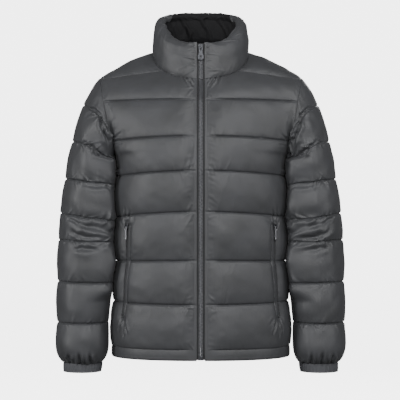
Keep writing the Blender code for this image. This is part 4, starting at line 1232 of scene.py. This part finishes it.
# Below the facing the inner face takes the dark lining, partly painted shade; at the back it reaches the rim.
is_lining = np.zeros(len(mesh.polygons), np.int32)
facing = mix(1.0, COLLAR_FACING, smooth((np.abs(across[:, 0]) - 0.30) / 0.08))
row = np.arange(len(faces)) // columns
is_lining[:len(faces)] = (column >= rim) & (height[0, column] < facing[row])
mesh.polygons.foreach_set("material_index", is_lining)
collar = finished_cloth(mesh, shell_nylon, lining_taffeta_with_painted_shade)
sewn_in(collar, "shell", "collar")

# ------------------------------------------------------------------------------------------
# Hem band: a flat casing of the shell nylon round the bottom with an elastic inside, one length
# of cloth folded over and topstitched. The elastic draws it into shallow gathers.

HEM_DROP = 0.024
HEM_WALL = 0.0055
HEM_PUFF = 0.0015
HEM_COLUMNS = 480
HEM_ROWS = 13


def hem_place(across, drop, depth):
    """across is 0 at the middle back, 1 at a side, 2 where the placket begins, 3 at its edge."""
    part = np.abs(across)
    on_back = body_point(np.minimum(part, 1), 0 * part, 1)
    on_front = front_point(placket_share(np.clip(2 - part, -1, 1), 0 * part), 0 * part)
    point = np.where((part <= 1)[..., None], on_back, on_front)
    point = point - vectors(0, 0, HEM_DROP * drop)
    return (point + inward(point) * depth[..., None]) * both_sides(across)


half = np.concatenate((np.linspace(0, 2, HEM_COLUMNS // 2), np.linspace(2.2, 3, 5)))
drops = smooth(np.linspace(0, 1, HEM_ROWS))
across, drop = np.meshgrid(np.concatenate((half[::-1], -half[1:])), drops)
free = smooth((2 - np.abs(across)) / 0.08)
outer = hem_place(across, drop, -HEM_PUFF * np.sin(np.pi * drop) ** 0.7 * free)
along, up = cloth_lengths(outer)
gathers = puckers(along, up, 81, pitch=0.008, longest=0.018, broadest=0.0042)
gathers += puckers(along, up[-1:] - up, 82, pitch=0.010, longest=0.016, broadest=0.0042)
stitched = hump((drop - 0.86) / 0.05)
outer = push(outer, (0.0010 * gathers * np.sin(np.pi * drop) - 0.0006 * stitched) * free)
inner = hem_place(across, drop, mix(SEAM_WALL, HEM_WALL, np.sin(np.pi * drop) ** 0.5 * free))
hem_band = lined_piece("hem_casing", outer, inner, material=shell_nylon)
sewn_in(hem_band, "shell", "hem_band")

# ------------------------------------------------------------------------------------------
# Cuffs: narrow bindings of elastic knit, sewn on stretched, so that both the cuff and the end of
# the sleeve stand in small upright gathers. One line of stitches holds the fold at the wrist.

CUFF_WALL = 0.0035
CUFF_COLUMNS = 192
CUFF_ROWS = 15
CUFF_GATHERS = 34
# Elastic knit of polyester and rubber thread: matt and a little lighter than the shell. Its ribs
# are too fine to show, so it has faint waves 9 mm wide.
cuff_knit = woven_cloth("elastic_polyester_knit", "45464a", "505155", 0.70, 9, 0.0006, 1.5)

steps = 360 * np.arange(CUFF_COLUMNS) / CUFF_COLUMNS
for name, side, seed in (("cuff_left", 1, 91), ("cuff_right", -1, 95)):
    random = np.random.default_rng(seed)
    down = np.linspace(0, 1, CUFF_ROWS)
    turn, drop = np.meshgrid(steps, down)
    form, middle = sleeve_point(turn, CUFF_RING + 0.01 + 0.99 * drop)
    out = unit(form - middle)
    wander = sum(random.uniform(0.3, 1) * np.sin(np.radians(turn * k + random.uniform(0, 360)))
                 for k in (3, 5, 8))
    gather = np.sin(np.radians(turn) * CUFF_GATHERS + 1.1 * wander) * (0.65 + 0.2 * wander)
    round_over = 1 - np.abs(2 * drop - 1) ** 4
    stitched = hump((drop - 0.80) / 0.07)
    lift = 0.0008 * gather * mix(0.5, 1, round_over) + 0.0006 * round_over - 0.0006 * stitched
    outer = form + out * lift[..., None]
    inner = form - out * (CUFF_WALL * mix(0.6, 1, round_over) - 0.4 * lift)[..., None]
    outer, inner = for_side(side, outer, inner, wrap=True)
    cuff = lined_piece(name + "_knit", outer, inner, True, cuff_knit)
    sewn_in(cuff, "cuff", name)

# ------------------------------------------------------------------------------------------
# Front zip: two woven tapes sewn behind the front edges, each with its row of moulded teeth.
# The teeth of both sides mesh into one bright chain, from the box at the hem to the slider.

TAPE_HALF_WIDTH = 0.0145
TAPE_WALL = 0.0010
ZIP_END_Z = -0.684
ZIP_TOP_Z = COLLAR_RIM_HEIGHTS[0] - 0.002
BOX_HEIGHT = 0.008
TOOTH_SIZE = (0.0056, 0.0023, 0.00135)
TOOTH_PITCH = 0.0030
TOOTH_OVERLAP = 0.0011      # past the middle, between the teeth of the other side
CHAIN_TOP_Z = 0.0040
STITCH_SIZE = (0.0012, 0.00024, 0.00020)
STITCH_PITCH = 0.0031
STITCH_RISE = 0.00012
SHARP_SMALL = 40            # degrees, past which an edge of a stitch or a tooth is not smoothed

# Woven polyester tape, dyed near black: matt. Its herringbone is too fine to show.
zip_tape = woven_cloth("woven_polyester_tape", "232325", "2b2c2e", 0.68, 20, 0.0002, 1.2)
# Moulded acetal teeth, lacquered gunmetal: smooth, with a soft metal-like gloss.
tooth_acetal, tree, shader = new_material("lacquered_acetal", "5d5e62", Metallic=0.40, Roughness=0.33)
place = add_node(tree, "ShaderNodeTexCoord", {})
wear = add_node(tree, "ShaderNodeTexNoise", {"Scale": 1000 / 6, "Detail": 3.0},
                ("Vector", place, "Object"))
gloss = add_node(tree, "ShaderNodeMapRange", {"To Min": 0.26, "To Max": 0.42},
                 ("Value", wear, "Fac"))
tree.links.new(gloss.outputs["Result"], shader.inputs["Roughness"])
# Bonded polyester sewing thread: dark, slightly glossy.
thread, _, _ = new_material("bonded_polyester_thread", "2c2d2f", Roughness=0.45)


def on_zip(x, height, rise):
    """A place on the zip's tape, behind the front edges, moved forward by rise."""
    path_z = np.concatenate(([ZIP_END_Z], BODY_SEAMS[:, 0], [ZIP_TOP_Z]))
    path_depth = np.concatenate((BODY_SEAMS[:1, 4], BODY_SEAMS[:, 4], [COLLAR_RIM_FRONT]))
    chest, neck = BODY_SEAMS[YOKE_SEAM, 0], BODY_SEAMS[TOP_SEAM, 0]
    around_neck = np.sqrt(1 - (x / NECK_HALF_WIDTH) ** 2)
    bend = mix(1.0, around_neck, np.clip((height - chest) / (neck - chest), 0, 1))
    edge = vectors(0, -np.interp(height, path_z, path_depth) * bend, height)
    back = np.where((height < neck - SEAM_GAP)[..., None], inward(edge), (0.0, 1.0, 0.0))
    return edge + back * (SEAM_WALL + 2 * SEAM_GAP - rise) + vectors(x, 0, 0)


def copies(name, base, middles, along, up, material):
    """One mesh of many copies of a small object, each turned to lie along and face up."""
    across = np.cross(up, along)
    points = read_points(base.data)
    turned = (points[None, :, 0, None] * along[:, None] + points[None, :, 1, None] * across[:, None]
              + points[None, :, 2, None] * up[:, None] + middles[:, None])
    count = len(points)
    faces = [[corner + k * count for corner in face.vertices]
             for k in range(len(middles)) for face in base.data.polygons]
    mesh = bpy.data.meshes.new(name)
    mesh.from_pydata(turned.reshape(-1, 3).tolist(), [], faces)
    return finished(mesh, SHARP_SMALL, material)


def small_object(add, scale, cuts=0, **settings):
    """A primitive at the origin, scaled and cut finer in edit mode."""
    bpy.ops.object.select_all(action="DESELECT")
    add(**settings)
    bpy.ops.object.mode_set(mode="EDIT")
    bpy.ops.mesh.select_all(action="SELECT")
    bpy.ops.transform.resize(value=scale)
    if cuts:
        bpy.ops.mesh.subdivide(number_cuts=cuts)
    bpy.ops.object.mode_set(mode="OBJECT")
    return bpy.context.object


stitch = small_object(bpy.ops.mesh.primitive_uv_sphere_add, STITCH_SIZE,
                      segments=6, ring_count=4, radius=1)


def stitch_line(name, path, up):
    """A line of stitches along a path on the cloth; up is the cloth's way out."""
    gone = run_length(path)
    places = np.arange(STITCH_PITCH, gone[-1] - STITCH_PITCH, STITCH_PITCH)

    def at(values, where):
        return np.stack([np.interp(where, gone, values[:, k]) for k in range(3)], axis=-1)

    along = unit(at(path, places + 0.001) - at(path, places - 0.001))
    out = at(up, places)
    out = unit(out - along * np.sum(out * along, axis=-1, keepdims=True))
    sewn_in(copies(name, stitch, at(path, places) + out * STITCH_RISE, along, out, thread), "zip")


heights = np.linspace(ZIP_END_Z, ZIP_TOP_Z, 240)
x, height = np.meshgrid(np.linspace(SEAM_GAP / 2, TAPE_HALF_WIDTH, 10), heights)
tape_face, tape_back = on_zip(x, height, 0.0), on_zip(x, height, -TAPE_WALL)

tooth = small_object(bpy.ops.mesh.primitive_cube_add,
                     (TOOTH_SIZE[0], TOOTH_SIZE[2], TOOTH_SIZE[1]), cuts=1, size=1)
for vertex in tooth.data.vertices:
    # The head is thinner than the root, and its crown is rounded
    head = smooth((-vertex.co.x / TOOTH_SIZE[0] + 0.1) / 0.6)
    vertex.co.y *= 1 - 0.35 * head
    at_edge, at_end = abs(vertex.co.y) > TOOTH_SIZE[2] * 0.3, abs(vertex.co.x) > TOOTH_SIZE[0] * 0.4
    vertex.co.z *= 1 - 0.16 * at_edge - 0.10 * at_end
for name, side, first in (("left", 1, 0.0), ("right", -1, 0.5)):
    face, behind = for_side(side, tape_face, tape_back)
    tape = lined_piece("front_zip_tape_" + name, face, behind, material=zip_tape)
    sewn_in(tape, "zip", "front_zip_" + name)
    z = np.arange(ZIP_END_Z + BOX_HEIGHT + first * TOOTH_PITCH, CHAIN_TOP_Z, TOOTH_PITCH)
    x = TOOTH_SIZE[0] / 2 - TOOTH_OVERLAP + 0 * z
    middles = on_zip(x, z, TOOTH_SIZE[1] / 2 + 0.0001)
    upward = unit(on_zip(x, z + 0.002, 0.0) - on_zip(x, z - 0.002, 0.0))
    sideways = np.broadcast_to((1.0, 0.0, 0.0), upward.shape)
    out = unit(np.cross(sideways, upward))
    if side < 0:
        middles, sideways = middles * TO_RIGHT, -sideways
    teeth = copies("front_zip_teeth_" + name, tooth, middles, sideways, out, tooth_acetal)
    sewn_in(teeth, "zip")
bpy.data.objects.remove(tooth)

placket = 4 * PLACKET_COLUMNS
for name, grid, side in (("left", left_front_outer, 1), ("right", right_front_outer, -1)):
    path, up = grid[6:-6, placket], grid_normals(grid)[6:-6, placket]
    if side < 0:
        path, up = path * TO_RIGHT, up * TO_RIGHT
    stitch_line("placket_topstitch_" + name, path, up)

# ------------------------------------------------------------------------------------------
# Zip hardware: die-cast zinc with a satin gunmetal plating. The front slider sits at the rim of
# the collar and its tab hangs from the bail: a stirrup-shaped tab with a waist and a second hole.

PULL_WALL = 0.0016
PULL_ROUNDING = 0.00035
FRONT_HINGE = (0.0, -0.085008, 0.0055)
EYE_TOP = 0.0009
EYE_BOTTOM = 0.0072
EYE_HALF_WIDTH = 0.0019
# Drops below its hinge and half widths there, of the front tab
FRONT_PULL = (
    (-0.0010, 0.0022), (0.0010, 0.0044), (0.0045, 0.0049), (0.0090, 0.0045), (0.0125, 0.0040),
    (0.0165, 0.0056), (0.0215, 0.0071), (0.0265, 0.0066), (0.0295, 0.0038),
)
GRIP_HOLE = (0.0218, 0.0017, 0.0026)    # drop of its middle, half its width and half its height

# Plated zinc: a dark satin metal, a little lighter where fingers have rubbed it.
gunmetal, tree, shader = new_material("gunmetal_plated_zinc", "55565a", Metallic=1.0, Roughness=0.46)
place = add_node(tree, "ShaderNodeTexCoord", {})
make_uneven(tree, shader, place, 5, 4.0, ((0.35, "434447"), (0.75, "5d5e62")), (0.40, 0.55))


def rounded_outline(points):
    """A closed line through half widths given at drops, with its corners smoothed twice."""
    right = [(half, -drop) for drop, half in points]
    line = np.array(right + [(-x, z) for x, z in reversed(right)])
    for _ in range(2):
        after = np.roll(line, -1, axis=0)
        line = np.stack((0.75 * line + 0.25 * after, 0.25 * line + 0.75 * after), axis=1)
        line = line.reshape(-1, 2)
    return line


def oval(drop, half_width, half_height):
    """A hole a little squarer than an ellipse."""
    angle = np.radians(np.arange(0, 360, 18))
    way = np.stack((np.cos(angle), np.sin(angle)), axis=-1)
    return (0, -drop) + (half_width, -half_height) * (np.sign(way) * np.abs(way) ** 0.8)


def pull_tab(name, lines, hinge, sideways, plating):
    """A flat tab with rounded edges: its outline and its holes as a flat curve, made a mesh."""
    curve = bpy.data.curves.new(name, "CURVE")
    curve.dimensions = "2D"
    curve.fill_mode = "BOTH"
    curve.extrude = PULL_WALL / 2 - PULL_ROUNDING
    curve.bevel_depth = PULL_ROUNDING
    curve.bevel_resolution = 2
    curve.offset = -PULL_ROUNDING
    for line in lines:
        spline = curve.splines.new("POLY")
        spline.points.add(len(line) - 1)
        spline.use_cyclic_u = True
        for point, (x, z) in zip(spline.points, line):
            point.co = (x, z, 0.0, 1.0)
    tab = add_object(name, curve)
    bpy.ops.object.select_all(action="DESELECT")
    tab.select_set(True)
    bpy.context.view_layer.objects.active = tab
    bpy.ops.object.convert(target="MESH")
    bpy.ops.object.mode_set(mode="EDIT")
    bpy.ops.mesh.select_all(action="SELECT")
    bpy.ops.mesh.remove_doubles(threshold=0.000002)
    bpy.ops.mesh.normals_make_consistent(inside=False)
    bpy.ops.object.mode_set(mode="OBJECT")
    across = Vector(sideways).normalized()
    up = Vector((0.0, 0.0, 1.0))
    turned = Matrix((across, up, across.cross(up))).transposed().to_4x4()
    tab.data.transform(Matrix.Translation(hinge) @ turned)
    tab.data.shade_smooth()
    tab.data.set_sharp_from_angle(angle=math.radians(50))
    tab.data.materials.clear()
    tab.data.materials.append(plating)
    return tab


eye = oval((EYE_TOP + EYE_BOTTOM) / 2, EYE_HALF_WIDTH, (EYE_BOTTOM - EYE_TOP) / 2)
lines = (rounded_outline(FRONT_PULL), eye, oval(*GRIP_HOLE))
front_tab = pull_tab("front_pull_tab", lines, FRONT_HINGE, (1, 0, 0), gunmetal)
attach(front_tab, "front_pull")
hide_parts("front_zip_pull")
for node in ("front_zip_slider", "front_zip_box", "pocket_slider_left", "pocket_slider_right"):
    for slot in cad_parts[node].material_slots:
        slot.material = gunmetal

# ------------------------------------------------------------------------------------------
# Pockets: a slanted slit in each front with a narrow folded welt on its front side, a fine coil
# zip behind the welt, a bartack at each end, and a slim tab with a bead at its tip.

WELT_WIDTH = 0.012
WELT_WALL = 0.0022
POCKET_ZIP_WIDTH = 0.0034
POCKET_ZIP_WALL = 0.0012
WELT_CLEARANCE = 0.0002     # between the skin and what lies on it
RAY_LENGTH = 0.03           # from well outside the skin, to find it
WELT_ROWS = 110
COIL_ROWS = 420             # three to each turn of the coil
POCKET_HINGE = (0.166605, -0.087157, -0.392963)
POCKET_AXIS = (0.720663, 0.693285, 0.0)
POCKET_PULL = (
    (-0.0010, 0.0018), (0.0010, 0.0032), (0.0050, 0.0035), (0.0090, 0.0027), (0.0180, 0.0025),
    (0.0270, 0.0029), (0.0300, 0.0016),
)
BARTACK_WIDTH = 0.0072
BARTACK_STITCHES = 13
BEAD_DROP = 0.0272
BEAD_RADIUS = 0.0021

# The same plated casting as the front slider, drawn paler: the paleness is a painted highlight on the pocket
# tabs and their beads.
pocket_tab_painted_highlight, _, _ = new_material("pale_plated_zinc_painted_highlight", "a2a3a7", Metallic=1.0, Roughness=0.45)


def pocket_patch(panel, asides, alongs):
    """Places on a front's skin beside the slit, and the way out there; aside is sidewards."""
    squares = square_faces(*panel.shape[:2])
    tree = BVHTree.FromPolygons(panel.reshape(-1, 3).tolist(), squares.tolist())
    aside, along = np.meshgrid(asides, alongs)
    level, share = pocket_line(along)
    middle = front_point(share, level)
    sidewards = unit(front_point(share + 0.01, level) - front_point(share - 0.01, level))
    target = middle + sidewards * aside[..., None]
    out = -inward(target)
    proud = np.zeros(target.shape[:2])
    for spot in np.ndindex(proud.shape):
        start = target[spot] + RAY_LENGTH * out[spot]
        hit = tree.ray_cast(Vector(start), Vector(-out[spot]))[0]
        proud[spot] = (np.array(hit) - target[spot]) @ out[spot]
    for _ in range(3):
        proud = np.maximum(proud, sum(neighbours(np.pad(proud, 1, mode="edge"))) / 4)
    return target + out * proud[..., None], out


def bartack(name, middle, sidewards, up, out):
    """A dense block of upright stitches that locks the end of a slit."""
    across = np.linspace(-BARTACK_WIDTH / 2, BARTACK_WIDTH / 2, BARTACK_STITCHES)[:, None]
    middles = middle + sidewards * across + out * 0.0004
    up, out = np.broadcast_to(up, middles.shape), np.broadcast_to(out, middles.shape)
    sewn_in(copies(name, stitch, middles, up, out, thread), "zip")


for word, side, panel in (("left", 1, left_front_outer), ("right", -1, right_front_outer)):
    flip = np.array((side, 1.0, 1.0))
    part = np.linspace(0, 1, 13)
    skin, out = pocket_patch(panel, -mix(SEAM_GAP, WELT_WIDTH, part[::-1]), np.linspace(1, 0, WELT_ROWS))
    folded = (1 - np.abs(2 * part - 1) ** 5) ** 0.5
    stitched = 1 - sum(0.28 * hump((part - place) / 0.07) for place in (0.18, 0.82))
    ends = smooth(np.minimum(np.arange(WELT_ROWS), np.arange(WELT_ROWS)[::-1]) / 3)[:, None]
    rise = WELT_WALL * mix(0.25, 1, folded * stitched * ends) + 0.00015 * uneven(skin, 0.012, 101)
    outer = skin + out * (0.0003 + rise)[..., None]
    outer, inner = for_side(side, outer, skin + out * WELT_CLEARANCE)
    welt = lined_piece("pocket_welt_fold_" + word, outer, inner, material=shell_nylon)
    sewn_in(welt, "shell", "pocket_welt_" + word)
    for number, column in ((1, 2), (2, 10)):
        stitch_line(f"welt_topstitch_{word}_{number}", outer[3:-3, column], grid_normals(outer)[3:-3, column])

    asides = np.linspace(SEAM_GAP, POCKET_ZIP_WIDTH, 5)
    skin, out = pocket_patch(panel, asides, np.linspace(1, 0, COIL_ROWS))
    coil = 0.5 + 0.5 * np.sin(np.arange(COIL_ROWS) * 2 * math.pi / 3)[:, None]
    dome = np.array((0.0, 0.8, 1.0, 0.8, 0.0))
    outer = skin + out * (0.0004 + POCKET_ZIP_WALL * dome * mix(0.55, 1, coil))[..., None]
    outer, inner = for_side(side, outer, skin + out * WELT_CLEARANCE)
    coil_zip = lined_piece("pocket_zip_coil_" + word, outer, inner, material=zip_tape)
    sewn_in(coil_zip, "zip", "pocket_zip_" + word)

    for end, along in (("top", -0.012), ("foot", 1.012)):
        spot, way = pocket_patch(panel, (-0.004, 0.0, 0.004), (along,))
        spot, way = spot[0] * flip, way[0] * flip
        sidewards = unit(spot[2] - spot[0])
        upwards = unit(np.cross(way[1], sidewards))
        bartack(f"bartack_{word}_{end}", spot[1], sidewards, upwards, way[1])

    hinge = Vector(POCKET_HINGE)
    hinge.x *= side
    eye = oval((EYE_TOP + EYE_BOTTOM) / 2, EYE_HALF_WIDTH * 0.8, (EYE_BOTTOM - EYE_TOP) / 2)
    axis = (POCKET_AXIS[0], POCKET_AXIS[1] * side, 0.0)
    # The pocket tab and its bead take the paler metal, whose paleness is a painted highlight.
    tab = pull_tab("pocket_pull_tab_" + word, (rounded_outline(POCKET_PULL), eye), hinge, axis, pocket_tab_painted_highlight)
    bpy.ops.object.select_all(action="DESELECT")
    bpy.ops.mesh.primitive_uv_sphere_add(segments=16, ring_count=10, radius=BEAD_RADIUS,
                                         location=hinge - Vector((0, 0, BEAD_DROP)))
    bead = bpy.context.object
    bead.data.materials.append(pocket_tab_painted_highlight)
    bead.data.shade_smooth()
    tab.select_set(True)
    bpy.context.view_layer.objects.active = tab
    bpy.ops.object.join()
    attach(tab, "pocket_pull_" + word)
    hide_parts("pocket_pull_" + word)
bpy.data.objects.remove(stitch)
